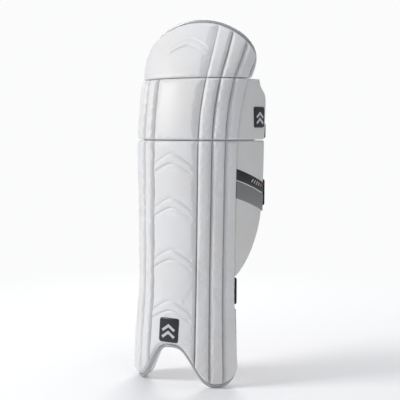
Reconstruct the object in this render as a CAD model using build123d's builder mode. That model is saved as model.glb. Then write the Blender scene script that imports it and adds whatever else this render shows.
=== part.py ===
from build123d import *
import math
import os

# Cricket batting leg pad, adult size, 700 mm tall, standing upright on its two ankle ears.
# Frame: +Z up, the outer (struck) face looks towards -Y, +X is the outer side of the leg,
# where the straps close. The origin is at floor level under the middle of the whole pad, so
# the leg's own axis runs LEG_Y behind it. Millimetres and degrees.
#
# Places on the pad are given as height z, turn (angle round the section from the front,
# positive towards +X) and out (distance outwards from the outer surface).

os.makedirs("parts", exist_ok=True)

# ---------------------------------------------------------------- driving dimensions
HEIGHT = 700.0  # floor to top of the thigh dome
LEG_Y = 22.0  # leg axis behind the origin
Z_KNEE = 466.0  # seam between shin and knee sections
Z_TOP = 583.0  # seam between knee section and thigh dome
Z_ARCH = 76.0  # crown of the arch over the boot's instep

LAYER_GAP = 0.6  # between neighbouring layers
SKIN_T = 13.0  # outer panels and rolls of shin and knee
CORE_OUT, CORE_IN = -14.0, -18.0  # firm backing boards
PAD_OUT, PAD_IN = CORE_IN - LAYER_GAP, -34.0  # inner calf bolsters
WING_T = 10.0  # side wings
WING_LAYER_OUT = -WING_T - LAYER_GAP  # outer face of the layers inside the wings
TOP_SKIN_T = 12.0  # outer panels and rolls of the dome
TOP_FOAM_IN, TOP_LINING_IN, TOP_BAND_IN = -17.0, -20.0, -21.4

PIPE_R = 3.0  # edge piping
FOOT_PIPE_OUT, DOME_PIPE_OUT = -5.0, -6.0  # centre lines of the piping
GAP_DEG = 0.28  # sewing gap beside each seam, about 0.5 mm
SIDES = ((1, "outer"), (-1, "inner"))

# Horizontal section of the outer surface. The set-back of its centre leans the knee and
# dome back over the thigh.
SHAPE = [
    # z, half width, depth, set-back
    (0.0, 118.0, 101.0, -3.0),
    (75.0, 115.5, 98.0, -3.0),
    (180.0, 110.0, 92.0, 0.0),
    (330.0, 111.5, 90.0, 0.0),
    (Z_KNEE, 114.0, 89.5, 1.0),
    (525.0, 114.5, 90.0, 9.0),
    (Z_TOP, 117.5, 89.5, 26.0),
    (610.0, 121.5, 87.5, 38.0),
    (640.0, 124.0, 85.0, 54.0),
    (HEIGHT, 125.0, 80.0, 88.0),
]
# Turn of seams 1 to 4 at heights Z_KNEE, Z_TOP and HEIGHT.
SEAMS = [(24.5, 25.5, 21.5), (38.5, 39.5, 37.0), (53.0, 54.5, 57.0), (68.0, 73.0, 76.0)]
WING_TURN = 60.0  # past seam 4 the turn runs along the wing, this far to its rear edge

# Rear edges of the calf and knee wings: (height, y behind the leg axis).
CALF_EDGE = [(206.0, -31.0), (215.0, -21.0), (230.0, -7.0), (250.0, 9.0), (275.0, 25.0),
             (300.0, 38.0), (320.0, 45.0), (350.0, 51.0), (400.0, 54.0), (Z_KNEE, 54.0)]
KNEE_EDGE = [(Z_KNEE, 54.5), (520.0, 55.5), (544.0, 55.0), (554.0, 51.0), (562.0, 43.0),
             (570.0, 36.0), (Z_TOP, 33.0)]
# Edge of the thigh dome at the centre of its piping: (height, turn).
DOME = [(579.0, 79.0), (595.0, 79.6), (610.0, 79.0), (624.0, 75.6), (638.0, 69.0), (652.0, 60.0),
        (666.0, 49.0), (678.0, 37.5), (687.0, 27.0), (692.5, 18.5), (695.8, 9.5), (697.0, 0.0)]
# Bottom edge of the shin section at the centre of its piping: (turn, height).
FOOT = [(0.0, Z_ARCH), (7.0, 74.3), (13.0, 67.5), (19.0, 53.0), (25.5, 33.0), (31.0, 17.0),
        (36.0, 8.0), (42.0, 3.2), (49.0, 2.6), (55.5, 4.8), (61.0, 10.0), (65.5, 18.0),
        (68.8, 28.0), (70.4, 40.0), (70.6, 60.0), (70.6, 90.0), (70.6, 120.0), (70.6, 145.0)]
FOOT_EAR_POINTS = 14  # points of FOOT round the ear, before the edge runs straight up
ARCH_END_TURN = 31.0  # the arch over the instep is the part of FOOT up to here

# Section heights of the lofts.
SHIN_LEVELS = [85.0, 120.0, 180.0, 255.0, 330.0, 400.0, Z_KNEE - 0.6]
KNEE_LEVELS = [Z_KNEE + 1.0, 495.0, 525.0, 555.0, Z_TOP - 0.8]
WING_LEVELS = [206.5, 240.0, 280.0, 330.0, 380.0, 425.0, Z_KNEE - 0.8]
TOP_LEVELS = [600.0, 620.0, 640.0, 655.0, 668.0]
Z_TOP_SKIN = Z_TOP + 0.8  # bottom of the dome's outer panels


# ---------------------------------------------------------------- tables and curves
def lerp(at, table):
    """Second column of the table at a value of its first, held constant past the ends."""
    if at <= table[0][0]:
        return table[0][1]
    for low, high in zip(table, table[1:]):
        if at <= high[0]:
            return low[1] + (high[1] - low[1]) * (at - low[0]) / (high[0] - low[0])
    return table[-1][1]


def smooth(at, table, column):
    """Cubic through the table's points, with finite-difference slopes."""
    count = len(table)
    at = min(max(at, table[0][0]), table[-1][0])
    i = max(k for k in range(count - 1) if table[k][0] <= at or k == 0)

    def slope(k):
        low, high = max(k - 1, 0), min(k + 1, count - 1)
        return (table[high][column] - table[low][column]) / (table[high][0] - table[low][0])

    step = table[i + 1][0] - table[i][0]
    s = (at - table[i][0]) / step
    start, end = table[i][column], table[i + 1][column]
    start_slope, end_slope = slope(i) * step, slope(i + 1) * step
    return ((2 * s**3 - 3 * s**2 + 1) * start + (s**3 - 2 * s**2 + s) * start_slope
            + (-2 * s**3 + 3 * s**2) * end + (s**3 - s**2) * end_slope)


def steps(start, end, count):
    return [start + (end - start) * i / count for i in range(count + 1)]


def resolve(value, *where):
    """A plain number, or a function's value at the given place."""
    return value(*where) if callable(value) else value


def seam(k, z):
    """Turn of seam k (1 to 4) at height z."""
    return lerp(z, list(zip((Z_KNEE, Z_TOP, HEIGHT), SEAMS[k - 1])))


def roll_edges(k, z):
    """Turns of the edges of roll k, between seams k and k + 1."""
    return seam(k, z) + GAP_DEG, seam(k + 1, z) - GAP_DEG


def point(z, turn, out):
    """Plan position (x, y) of a place on the pad."""
    width, depth, set_back = (smooth(z, SHAPE, column) for column in (1, 2, 3))
    side, angle, last = (1 if turn >= 0 else -1), abs(turn), seam(4, z)
    r = math.radians(min(angle, last))
    x, y = width * math.sin(r), set_back - depth * math.cos(r)
    if angle <= last:
        nx, ny = math.sin(r) / width, -math.cos(r) / depth
    else:
        # The wing is a quadratic Bezier curve, leaving the section along its tangent.
        q = (angle - last) / WING_TURN
        x0, y0 = x, y
        tx, ty = width * math.cos(r), depth * math.sin(r)
        scale = 42.0 / math.hypot(tx, ty)
        x1, y1, x2, y2 = x0 + tx * scale, y0 + ty * scale, x0 + 16.5, y0 + 90.0
        x = (1 - q) ** 2 * x0 + 2 * q * (1 - q) * x1 + q * q * x2
        y = (1 - q) ** 2 * y0 + 2 * q * (1 - q) * y1 + q * q * y2
        nx = 2 * (1 - q) * (y1 - y0) + 2 * q * (y2 - y1)
        ny = -(2 * (1 - q) * (x1 - x0) + 2 * q * (x2 - x1))
    length = math.hypot(nx, ny)
    return side * (x + out * nx / length), LEG_Y + y + out * ny / length


def dome_limit(z, inset):
    """Turn of the dome's edge at height z, inset mm inside the piping's centre line."""
    rim = []
    last = len(DOME) - 1
    for i, (height, turn) in enumerate(DOME):
        before, after = DOME[max(i - 1, 0)], DOME[min(i + 1, last)]
        width, depth = smooth(height, SHAPE, 1), smooth(height, SHAPE, 2)
        r = math.radians(turn)
        per_degree = math.hypot(width * math.cos(r), depth * math.sin(r)) * math.pi / 180
        along, up = (after[1] - before[1]) * per_degree, after[0] - before[0]
        if i == last:
            along, up = -1.0, 0.0
        length = math.hypot(along, up)
        rim.append((height + along / length * inset, turn - up / length * inset / per_degree))
    return max(lerp(z, sorted(rim)), 1.0)


def foot_limits(z, clear):
    """Turns between which an ear reaches down to height z, clear mm above the piping."""
    rise = [(turn, height + clear) for turn, height in FOOT[:FOOT_EAR_POINTS]]
    inner, outer = 0.0, 90.0
    for (t0, h0), (t1, h1) in zip(rise, rise[1:]):
        if h0 >= z > h1:
            inner = t0 + (t1 - t0) * (h0 - z) / (h0 - h1)
        if h0 <= z < h1:
            outer = t0 + (t1 - t0) * (z - h0) / (h1 - h0)
    return inner, outer


# ---------------------------------------------------------------- wall sections
def profile(z, start, end, out, back, bulge=0.0, points=9):
    """A closed wall section at height z between two turns, from face out to face back."""
    outer_points, inner_points = [], []
    for i in range(points):
        f = i / (points - 1)
        turn = start + (end - start) * f
        swell = bulge * (1 - abs(2 * f - 1) ** 2.5)
        outer_points.append(point(z, turn, resolve(out, z, turn) + swell))
        inner_points.append(point(z, turn, resolve(back, z, turn)))
    with BuildSketch(Plane.XY.offset(z)) as wall:
        with BuildLine():
            outer = Spline(*outer_points)
            inner = Spline(*inner_points)
            Line(outer @ 0, inner @ 0)
            Line(outer @ 1, inner @ 1)
        make_face()
    return wall.sketch


def walls(levels, start, end, out, back, side=1, **options):
    """Wall sections at several heights; start and end are turns or functions of z."""
    return [profile(z, side * resolve(start, z), side * resolve(end, z), out, back, **options)
            for z in levels]


def centred(levels, half, out, back, **options):
    """Wall sections reaching the same turn either side of the front."""
    return walls(levels, lambda z: -resolve(half, z), half, out, back, **options)


# ---------------------------------------------------------------- shared ways of making a piece
# Side view: (y behind the leg axis, z).
SIDE_VIEW = Plane(origin=(0, LEG_Y, 0), x_dir=(0, 1, 0), z_dir=(1, 0, 0))


def struck_face_plane(x, y, z):
    """Plane looking towards -Y; a negative extrusion from it goes back towards the leg."""
    return Plane(origin=(x, y, z), x_dir=(1, 0, 0), z_dir=(0, -1, 0))


def save(build, name):
    build.part.label = name
    export_step(build.part, f"parts/{name}.step")


def plain_piece(name, sections, ruled=False):
    with BuildPart() as piece:
        loft(sections=sections, ruled=ruled)
    save(piece, name)


def arched_piece(name, sections, spread, rise, corner_z, ruled=False):
    """A wall cut away below the instep arch, which is moved out by spread and up by rise."""
    arch = [(point(z, turn, FOOT_PIPE_OUT)[0], z) for turn, z in FOOT if turn <= ARCH_END_TURN]
    with BuildPart() as piece:
        loft(sections=sections, ruled=ruled)
        with BuildSketch(Plane.XZ):
            with BuildLine():
                right = Spline(*[(x + spread, z + rise) for x, z in arch])
                left = Spline(*[(-x - spread, z + rise) for x, z in arch])
                Line(right @ 0, left @ 0)
                Polyline(right @ 1, (90, corner_z), (90, -20), (-90, -20), (-90, corner_z),
                         left @ 1)
            make_face()
        extrude(amount=140, both=True, mode=Mode.SUBTRACT)
    save(piece, name)


def wing_piece(name, sections, rear_edge, corners):
    """A wall cut away behind its rear edge; corners close the waste, in the side view."""
    with BuildPart() as piece:
        loft(sections=sections)
        with BuildSketch(SIDE_VIEW):
            with BuildLine():
                rear = Spline(*rear_edge)
                Polyline(rear @ 1, *corners, rear @ 0)
            make_face()
        extrude(amount=220, both=True, mode=Mode.SUBTRACT)
    save(piece, name)


def polygon_piece(name, sections, plane, corners, reach, both=True, ruled=False):
    """The part of a wall inside a polygon."""
    with BuildPart() as piece:
        loft(sections=sections, ruled=ruled)
        with BuildSketch(plane):
            with BuildLine():
                Polyline(*corners, close=True)
            make_face()
        extrude(amount=reach, both=both, mode=Mode.INTERSECT)
    save(piece, name)


def badge(name, sections, plane, width, height, corner_r, reach):
    """The part of a wall inside a rounded rectangle."""
    with BuildPart() as piece:
        loft(sections=sections)
        with BuildSketch(plane):
            RectangleRounded(width, height, corner_r)
        extrude(amount=reach, mode=Mode.INTERSECT)
    save(piece, name)


# ---------------------------------------------------------------- shin: outer panel and rolls
arched_piece("shin_panel",
             centred([10.0, 45.0] + SHIN_LEVELS, seam(1, Z_KNEE) - GAP_DEG, 0.0, -SKIN_T,
                     bulge=5.0, points=11),
             spread=1.2, rise=4.4, corner_z=0)

CANE_R = 3.0  # split-cane rods inside the rolls
CANE_CLEAR = 0.6  # round the rod in its hole
CANE_END_GAP = 1.0  # rod to each end of its hole
CANE_BOTTOM, CANE_TOP, CANE_OUT = 150.0, 450.0, -6.0

# Section heights of each shin roll where it follows the rounded ear.
EAR_LEVELS = {
    1: [9.0, 12.0, 16.0, 21.0, 27.0, 34.0, 42.0, 50.0],
    2: [9.5, 20.0, 50.0],
    3: [11.0, 14.0, 18.0, 23.0, 28.0, 33.0, 50.0],
}


def cane_hole(k, side):
    """Bottom end of the cane hole in roll k, and the vector to its top end."""
    middle = side * sum(roll_edges(k, Z_KNEE)) / 2
    bottom, top = (Vector(*point(z, middle, CANE_OUT), z) for z in (CANE_BOTTOM, CANE_TOP))
    return bottom, top - bottom


def shin_roll(k, side, tag):
    sections = []
    for z in EAR_LEVELS[k] + SHIN_LEVELS:
        start, end = roll_edges(k, z)
        inner, outer = foot_limits(z, 4.2)
        start, end = max(start, inner + 0.6), min(end, outer - 1.8)
        if end - start >= 2.0:
            sections.append(profile(z, side * start, side * end, 0.0, -SKIN_T, bulge=6.0))
    bottom, axis = cane_hole(k, side)
    with BuildPart() as roll:
        loft(sections=sections, ruled=True)
        with BuildSketch(Plane(origin=bottom, z_dir=axis)):
            Circle(CANE_R + CANE_CLEAR)
        extrude(amount=axis.length, mode=Mode.SUBTRACT)
    save(roll, f"shin_roll_{tag}_{k}")


for k in (1, 2, 3):
    for side, tag in SIDES:
        shin_roll(k, side, tag)

# One rod runs up inside each roll; all six are one piece.
with BuildPart() as cane_rods:
    for k in (1, 2, 3):
        for side, _ in SIDES:
            bottom, axis = cane_hole(k, side)
            start = bottom + axis.normalized() * CANE_END_GAP
            with BuildSketch(Plane(origin=start, z_dir=axis)):
                Circle(CANE_R)
            extrude(amount=axis.length - 2 * CANE_END_GAP)
save(cane_rods, "cane_rods")

badge("shin_badge", centred((70.0, 107.0, 150.0), 14.0, 6.9, 5.6, points=7),
      struck_face_plane(-2.0, -200.0, 107.0), width=42, height=46, corner_r=5, reach=-150)

# ---------------------------------------------------------------- shin: board and padding
arched_piece("shin_core_board",
             centred([14.0, 50.0] + SHIN_LEVELS[:-1] + [463.5], 62.0, CORE_OUT, CORE_IN,
                     points=17),
             spread=1.5, rise=8.0, corner_z=10, ruled=True)

arched_piece("instep_lining",
             centred((12.0, 45.0, 85.0, 129.0), 64.0, PAD_OUT, -21.0, points=17),
             spread=1.2, rise=5.0, corner_z=0)

STRIP_HALF = 15.6  # turn of the centre strip's edges
BOLSTER_EDGE = [(133.0, 56.0), (250.0, 65.5), (454.0, 65.5)]  # (height, turn)

for side, tag in SIDES:
    plain_piece(f"calf_bolster_{tag}",
                walls((133.0, 190.0, 250.0, 330.0, 400.0, 454.0), STRIP_HALF + 1.0,
                      lambda z: lerp(z, BOLSTER_EDGE), PAD_OUT, PAD_IN, side, points=11),
                ruled=True)

plain_piece("centre_strip",
            centred((131.0, 200.0, 280.0, 360.0, 454.0), STRIP_HALF, PAD_OUT, -24.0, points=7))

# ---------------------------------------------------------------- shin: foot piping
FOOT_RINGS = 80  # steps between the rings of the loft
FOOT_RUN = [(float(i), turn, z) for i, (turn, z) in enumerate(FOOT)]


def foot_run(s):
    """Piping centre at step s along FOOT, and the direction away from the leg there."""
    turn, z = smooth(s, FOOT_RUN, 1), smooth(s, FOOT_RUN, 2)
    near, far = point(z, turn, 0.0), point(z, turn, 1.0)
    centre = Vector(*point(z, turn, FOOT_PIPE_OUT), z)
    return centre, Vector(far[0] - near[0], far[1] - near[1], 0)


def foot_ring(s):
    """Round section of the piping at step s, square to its run."""
    centre, outwards = foot_run(s)
    ahead = foot_run(min(s + 0.02, len(FOOT) - 1.0))[0] - foot_run(max(s - 0.02, 0.0))[0]
    if s == 0:
        # square to the mirror plane, so that the two halves meet
        ahead, outwards = Vector(1, 0, 0), Vector(0, -1, 0)
    return Plane(origin=centre, x_dir=outwards, z_dir=ahead) * Circle(PIPE_R)


foot_rings = [foot_ring(k * (len(FOOT) - 1) / FOOT_RINGS) for k in range(FOOT_RINGS + 1)]
with BuildPart() as foot_piping:
    loft(sections=foot_rings, ruled=True)
    # flattened where the pad stands on its ears
    with Locations((82.0, -46.0, -5.0)):
        Box(60.0, 60.0, 10.0, mode=Mode.SUBTRACT)
    mirror(about=Plane.YZ)
save(foot_piping, "foot_piping")

# ---------------------------------------------------------------- knee: outer skin and wings
plain_piece("knee_panel",
            centred(KNEE_LEVELS, lambda z: seam(1, z) - GAP_DEG, 0.0, -SKIN_T,
                    bulge=5.5, points=11))

for k in (1, 2, 3):
    for side, tag in SIDES:
        plain_piece(f"knee_roll_{tag}_{k}",
                    walls(KNEE_LEVELS, lambda z: roll_edges(k, z)[0],
                          lambda z: roll_edges(k, z)[1], 0.0, -SKIN_T, side, bulge=6.5))

plain_piece("knee_foam_block",
            centred((468.0, 495.0, 525.0, 555.0, 581.0), 64.0, CORE_OUT, CORE_IN, points=17))


def wing_walls(levels, side):
    """Sections of a side wing, from seam 4 to its rear edge."""
    return walls(levels, lambda z: seam(4, z) + GAP_DEG, lambda z: seam(4, z) + WING_TURN,
                 0.0, -WING_T, side)


for side, tag in SIDES:
    wing_piece(f"knee_wing_{tag}", wing_walls(KNEE_LEVELS, side),
               [(y, z) for z, y in KNEE_EDGE],
               [(33, 640), (140, 640), (140, 460), (54.5, 460)])

badge("wing_badge",
      walls((480.0, 495.0, 510.0, 525.0, 540.0), lambda z: seam(4, z) + 14.0,
            lambda z: seam(4, z) + 58.0, 1.8, 0.6, points=7),
      Plane(origin=(0.0, LEG_Y + 27.0, 509.5), x_dir=(0, 1, 0), z_dir=(1, 0, 0)),
      width=36, height=40, corner_r=4, reach=200)

# ---------------------------------------------------------------- knee: cushion and insert
CUSHION_T = 16.0
INSERT_HALF, INSERT_OUT, INSERT_IN = 30.0, -23.0, -30.4
INSERT_BOTTOM, INSERT_TOP = 482.0, 548.0
INSERT_MIDDLE = [500.0, 515.0, 530.0]


def cushion_out(z, turn):
    """Outer face of the cushion: against the foam block in front, the wings at the sides."""
    t = min(max((abs(turn) - 67.0) / 14.0, 0.0), 1.0)
    return -18.9 + 8.0 * t * t * (3 - 2 * t)


def cushion_in(z, turn):
    return cushion_out(z, turn) - CUSHION_T


def insert_walls(end_gap, turn_gap, face_gap):
    """Sections of the impact insert, grown by a clearance."""
    levels = [INSERT_BOTTOM - end_gap] + INSERT_MIDDLE + [INSERT_TOP + end_gap]
    return centred(levels, INSERT_HALF + turn_gap, INSERT_OUT + face_gap, INSERT_IN - face_gap)


with BuildPart() as knee_cushion:
    loft(sections=centred((456.5, 475.0, 500.0, 525.0, 550.0, 574.0),
                          lambda z: seam(4, z) + 37.0, cushion_out, cushion_in, points=27))
    # arched top edge
    with BuildSketch(Plane.XZ):
        with BuildLine():
            crown = Spline(*[(x, 572.5 - 20.0 * (x / 120.0) ** 2) for x in range(-140, 141, 35)])
            Polyline(crown @ 0, (-140, 620), (140, 620), crown @ 1)
        make_face()
    extrude(amount=140, both=True, mode=Mode.SUBTRACT)
    # clear of the calf wings below the knee seam
    with Locations((115.0, LEG_Y + 40.0, 458.0), (-115.0, LEG_Y + 40.0, 458.0)):
        Box(56.0, 160.0, 19.4, mode=Mode.SUBTRACT)
    # pocket for the impact insert
    pocket = loft(sections=insert_walls(end_gap=1.0, turn_gap=1.0, face_gap=0.6),
                  mode=Mode.PRIVATE)
    add(pocket, mode=Mode.SUBTRACT)
save(knee_cushion, "knee_cushion")

plain_piece("knee_impact_insert", insert_walls(end_gap=0.0, turn_gap=0.0, face_gap=0.0))

polygon_piece("knee_mesh_panel",
              centred((457.0, 480.0, 505.0, 530.0, 555.0, 572.0), 52.0, -35.2, -36.4, points=13),
              Plane.XZ,
              [(-23, 570), (23, 570), (54, 514), (19, 458), (-19, 458), (-54, 514)], reach=140)

# hexagon behind the mesh panel
with BuildPart() as knee_emblem:
    loft(sections=centred((512.0, 530.0, 541.0, 552.0, 568.0), 26.0, -37.0, -38.4))
    with BuildSketch(Plane.XZ):
        with Locations((0, 540)):
            RegularPolygon(21.5, 6)
    extrude(amount=140, both=True, mode=Mode.INTERSECT)
save(knee_emblem, "knee_emblem")

# ---------------------------------------------------------------- thigh dome
# The wide panel runs from the inner edge over the front; the rolls are on the outer side.
plain_piece("top_panel",
            walls(steps(Z_TOP_SKIN, 690.0, 22), lambda z: -dome_limit(z, 4.6),
                  lambda z: min(seam(1, z) - GAP_DEG, dome_limit(z, 4.6)),
                  0.0, -TOP_SKIN_T, bulge=4.0, points=17),
            ruled=True)


def top_roll(name, k, bulge):
    """Roll from seam k to the next seam, or to the dome's edge where that comes first."""
    sections = []
    for z in steps(Z_TOP_SKIN, 691.0, 24):
        start, end = seam(k, z) + GAP_DEG, dome_limit(z, 4.2)
        if k < len(SEAMS):
            end = min(seam(k + 1, z) - GAP_DEG, end)
        if end - start < 2.5:
            break
        sections.append(profile(z, start, end, 0.0, -TOP_SKIN_T, bulge=bulge))
    plain_piece(name, sections, ruled=True)


for k in (1, 2, 3):
    top_roll(f"top_roll_{k}", k, bulge=5.5)
top_roll("top_side_panel", 4, bulge=2.0)


def dome_walls(levels, inset, out, back):
    """Sections of an inner layer across the whole dome."""
    return centred(levels, lambda z: dome_limit(z, inset), out, back, points=19)


plain_piece("top_foam",
            dome_walls([585.0] + TOP_LEVELS + [677.0, 683.0], 9.0,
                       -TOP_SKIN_T - LAYER_GAP, TOP_FOAM_IN),
            ruled=True)
plain_piece("top_lining",
            dome_walls([585.0] + TOP_LEVELS + [678.0, 685.0], 5.0,
                       TOP_FOAM_IN - LAYER_GAP, TOP_LINING_IN),
            ruled=True)

CHEVRON_HALF, CHEVRON_DROP = 125, 64.0
# name, upper and lower edge at the apex
for name, upper, lower in (("top_chevron_black", 661.0, 638.0),
                           ("top_chevron_grey", 637.0, 602.0)):
    polygon_piece(name,
                  dome_walls([585.2] + TOP_LEVELS, 7.0, TOP_LINING_IN - LAYER_GAP, TOP_BAND_IN),
                  Plane.XZ,
                  [(-CHEVRON_HALF, upper - CHEVRON_DROP), (0, upper),
                   (CHEVRON_HALF, upper - CHEVRON_DROP), (CHEVRON_HALF, lower - CHEVRON_DROP),
                   (0, lower), (-CHEVRON_HALF, lower - CHEVRON_DROP)],
                  reach=160, ruled=True)

# Piping over the dome, starting a little above its bottom seam.
with BuildPart() as top_piping:
    rim = [(*point(z, turn, DOME_PIPE_OUT), z) for z, turn in [(587.5, 79.5)] + DOME[2:]]
    with BuildLine() as binding:
        Spline(*([(-x, y, z) for x, y, z in rim[:-1]] + rim[::-1]))
    with BuildSketch(Plane(origin=binding.line @ 0, z_dir=binding.line % 0)):
        Circle(PIPE_R)
    sweep()
save(top_piping, "top_piping")

# ---------------------------------------------------------------- calf wings
EDGE_ROLL_INSET = 20.4  # front of the edge roll from the wing's rear edge
LINING_INSET = EDGE_ROLL_INSET + LAYER_GAP


def calf_edge(inset):
    """The wing's rear edge moved forward by inset, in the side view."""
    return [(y - inset, z) for z, y in CALF_EDGE]


def calf_corners(inset):
    return [(140, 470), (140, 150), (CALF_EDGE[0][1] - inset, 150)]


def wing_edge_roll(side, tag):
    with BuildPart() as edge_roll:
        loft(sections=walls((226.0, 260.0, 300.0, 350.0, 400.0, 453.0),
                            lambda z: seam(4, z) + 4.0, lambda z: seam(4, z) + WING_TURN + 6.0,
                            WING_LAYER_OUT, -27.0, side))
        with BuildSketch(SIDE_VIEW):
            with BuildLine():
                rear = Spline(*calf_edge(LAYER_GAP))
                front = Spline(*calf_edge(EDGE_ROLL_INSET))
                Line(rear @ 0, front @ 0)
                Line(rear @ 1, front @ 1)
            make_face()
        extrude(amount=220, both=True, mode=Mode.INTERSECT)
    save(edge_roll, f"wing_edge_roll_{tag}")


for side, tag in SIDES:
    wing_piece(f"calf_wing_{tag}", wing_walls(WING_LEVELS, side), calf_edge(0.0),
               calf_corners(0.0))
    wing_piece(f"wing_lining_{tag}",
               walls((236.0, 280.0, 330.0, 380.0, 425.0, 453.0), lambda z: seam(4, z) + 5.0,
                     lambda z: seam(4, z) + WING_TURN - 4.0, WING_LAYER_OUT, -22.0, side),
               calf_edge(LINING_INSET), calf_corners(LINING_INSET))
    wing_edge_roll(side, tag)

STRIPE_FRONT, STRIPE_REAR, STRIPE_FALL = -36, 50.5, 30
# name, upper and lower edge at the front end, y of the lower rear corner
for name, upper, lower, lower_rear in (("wing_stripe_black", 413.0, 392.5, STRIPE_REAR),
                                       ("wing_stripe_grey", 392.0, 358.0, STRIPE_REAR - 1)):
    polygon_piece(name,
                  walls((315.0, 340.0, 365.0, 390.0, 420.0), lambda z: seam(4, z) + 1.4,
                        lambda z: seam(4, z) + WING_TURN, 1.4, 0.5),
                  SIDE_VIEW,
                  [(STRIPE_FRONT, upper), (STRIPE_REAR, upper - STRIPE_FALL),
                   (lower_rear, lower - STRIPE_FALL), (STRIPE_FRONT, lower)],
                  reach=220, both=False)

# ---------------------------------------------------------------- straps
STRAP_T = 2.2
TAB_T, MARK_T = 3.4, 0.7  # hook tab and the mark raised on it
ANCHOR_W = 21.8
LOOP_PATCH_W = 20.0

STRAPS = [
    # name, z, width, half span, y behind the leg axis, bow, tab length, front of the patches
    ("knee", 484.0, 28.0, 122.0, 60.4, 5.0, 46.0, 56.8),
    ("calf", 364.0, 50.0, 122.0, 58.6, 5.0, 58.0, 55.2),
    ("ankle", 179.0, 50.0, 102.0, -23.4, 7.0, 58.0, -28.0),
]


def strap_band(name, z, width, start, end, base, bow):
    """Webbing across the back of the leg, bowed rearwards in the middle."""
    def run(offset):
        return [(x, LEG_Y + base + bow * (1 - min(abs(x) / 60.0, 1.0) ** 2) ** 2 + offset)
                for x in steps(start, end, 12)]

    with BuildPart() as strap:
        with BuildSketch(Plane.XY.offset(z - width / 2)):
            with BuildLine():
                back = Spline(*run(STRAP_T / 2))
                face = Spline(*run(-STRAP_T / 2))
                Line(back @ 0, face @ 0)
                Line(back @ 1, face @ 1)
            make_face()
        extrude(amount=width)
    save(strap, name)


def strap_tab(name, x, front, z, length, width):
    """Moulded hook tab with a raised double-chevron mark on its rear face."""
    s = width / 50.0  # the mark is drawn for a 50 mm strap
    with BuildPart() as tab:
        with BuildSketch(struck_face_plane(x, front, z)):
            RectangleRounded(length - 1.0, width + 2.0, 4.0)
        extrude(amount=-TAB_T)
        with BuildSketch(struck_face_plane(x, front + TAB_T, z)):
            for dz in (-6.0 * s, 6.0 * s):
                with BuildLine():
                    Polyline((-12 * s, dz - 6 * s), (0, dz + 2 * s), (12 * s, dz - 6 * s),
                             (12 * s, dz - 1 * s), (0, dz + 7 * s), (-12 * s, dz - 1 * s),
                             close=True)
                make_face()
        extrude(amount=-MARK_T)
    save(tab, name)


def strap_patch(name, x, front, z, width, height, depth):
    with BuildPart() as patch:
        with BuildSketch(struck_face_plane(x, LEG_Y + front, z)):
            RectangleRounded(width, height, 1.5)
        extrude(amount=-depth)
    save(patch, name)


for name, z, width, half, base, bow, tab, front in STRAPS:
    strap_band(f"{name}_strap", z, width, -half + ANCHOR_W + 0.8, half - tab - 0.5, base, bow)
    strap_tab(f"{name}_strap_tab", half - tab / 2, LEG_Y + base - STRAP_T / 2, z, tab, width)
    # sewn end of the webbing, on the inner side
    strap_patch(f"{name}_strap_anchor", -half + ANCHOR_W / 2, front, z, ANCHOR_W, width,
                depth=base + STRAP_T / 2 - front)
    # loop patch that the tab grips, on the outer side
    strap_patch(f"{name}_strap_loop_patch", half - 9.5, front, z, LOOP_PATCH_W, width - 2.0,
                depth=base - STRAP_T / 2 - 0.9 - front)
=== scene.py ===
"""A strapped leg pad: shin, knee and dome-topped thigh sections, two calf wings, three straps.

It stands upright with its foot near z = 0. The front faces -y, the hollow for the leg opens
towards +y, and +x is the outer side. Lengths are in mm until they are written to a mesh.
Most pieces are laid out on one surface by height z, angle round the section (degrees, 0 at
the front, positive on the outer side) and distance out from the surface (negative is inwards).
"""
import math
from collections import namedtuple

import bmesh
import bpy
import numpy as np
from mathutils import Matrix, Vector


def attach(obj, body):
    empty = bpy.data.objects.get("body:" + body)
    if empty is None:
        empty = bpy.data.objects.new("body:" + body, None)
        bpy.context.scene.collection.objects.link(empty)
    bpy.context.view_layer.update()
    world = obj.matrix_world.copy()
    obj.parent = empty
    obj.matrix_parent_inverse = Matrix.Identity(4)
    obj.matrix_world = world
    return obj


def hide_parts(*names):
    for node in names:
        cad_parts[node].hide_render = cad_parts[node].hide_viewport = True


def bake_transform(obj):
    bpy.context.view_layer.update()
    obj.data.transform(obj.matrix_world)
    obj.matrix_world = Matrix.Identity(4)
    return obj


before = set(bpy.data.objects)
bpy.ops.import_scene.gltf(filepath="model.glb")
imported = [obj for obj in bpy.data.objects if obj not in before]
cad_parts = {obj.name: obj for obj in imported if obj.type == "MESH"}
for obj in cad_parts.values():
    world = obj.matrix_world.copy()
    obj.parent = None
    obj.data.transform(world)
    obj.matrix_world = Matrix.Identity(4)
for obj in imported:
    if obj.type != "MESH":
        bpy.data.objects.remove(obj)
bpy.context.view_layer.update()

# ------------------------------------------------------------------ driving dimensions
LEG_Y = 22.0        # y of the leg's axis
WING_TURN = 60.0    # angle units taken by the full curve of a wing
SEAM_GAP = 0.1      # angle left between a panel and its seam
SHIN_TOP = 465.0
KNEE_BOTTOM, KNEE_TOP = 467.0, 582.4
SIDES = ((1, "outer"), (-1, "inner"))
MIRROR = np.array([-1, 1, 1])

# height, half width, half depth, y of the section's centre behind the leg's axis
SHAPE = np.array([
    (0.0, 118.0, 101.0, -3.0), (75.0, 115.5, 98.0, -3.0), (180.0, 110.0, 92.0, 0.0),
    (330.0, 111.5, 90.0, 0.0), (466.0, 114.0, 89.5, 1.0), (525.0, 114.5, 90.0, 9.0),
    (583.0, 117.5, 89.5, 26.0), (610.0, 121.5, 87.5, 38.0), (640.0, 124.0, 85.0, 54.0),
    (700.0, 125.0, 80.0, 88.0)])
# angle of each seam, front to side, at each of the seam heights
SEAM_HEIGHTS = [466.0, 583.0, 700.0]
SEAMS = np.array([(24.5, 25.5, 21.5), (38.5, 39.5, 37.0), (53.0, 54.5, 57.0), (68.0, 73.0, 76.0)])
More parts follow.
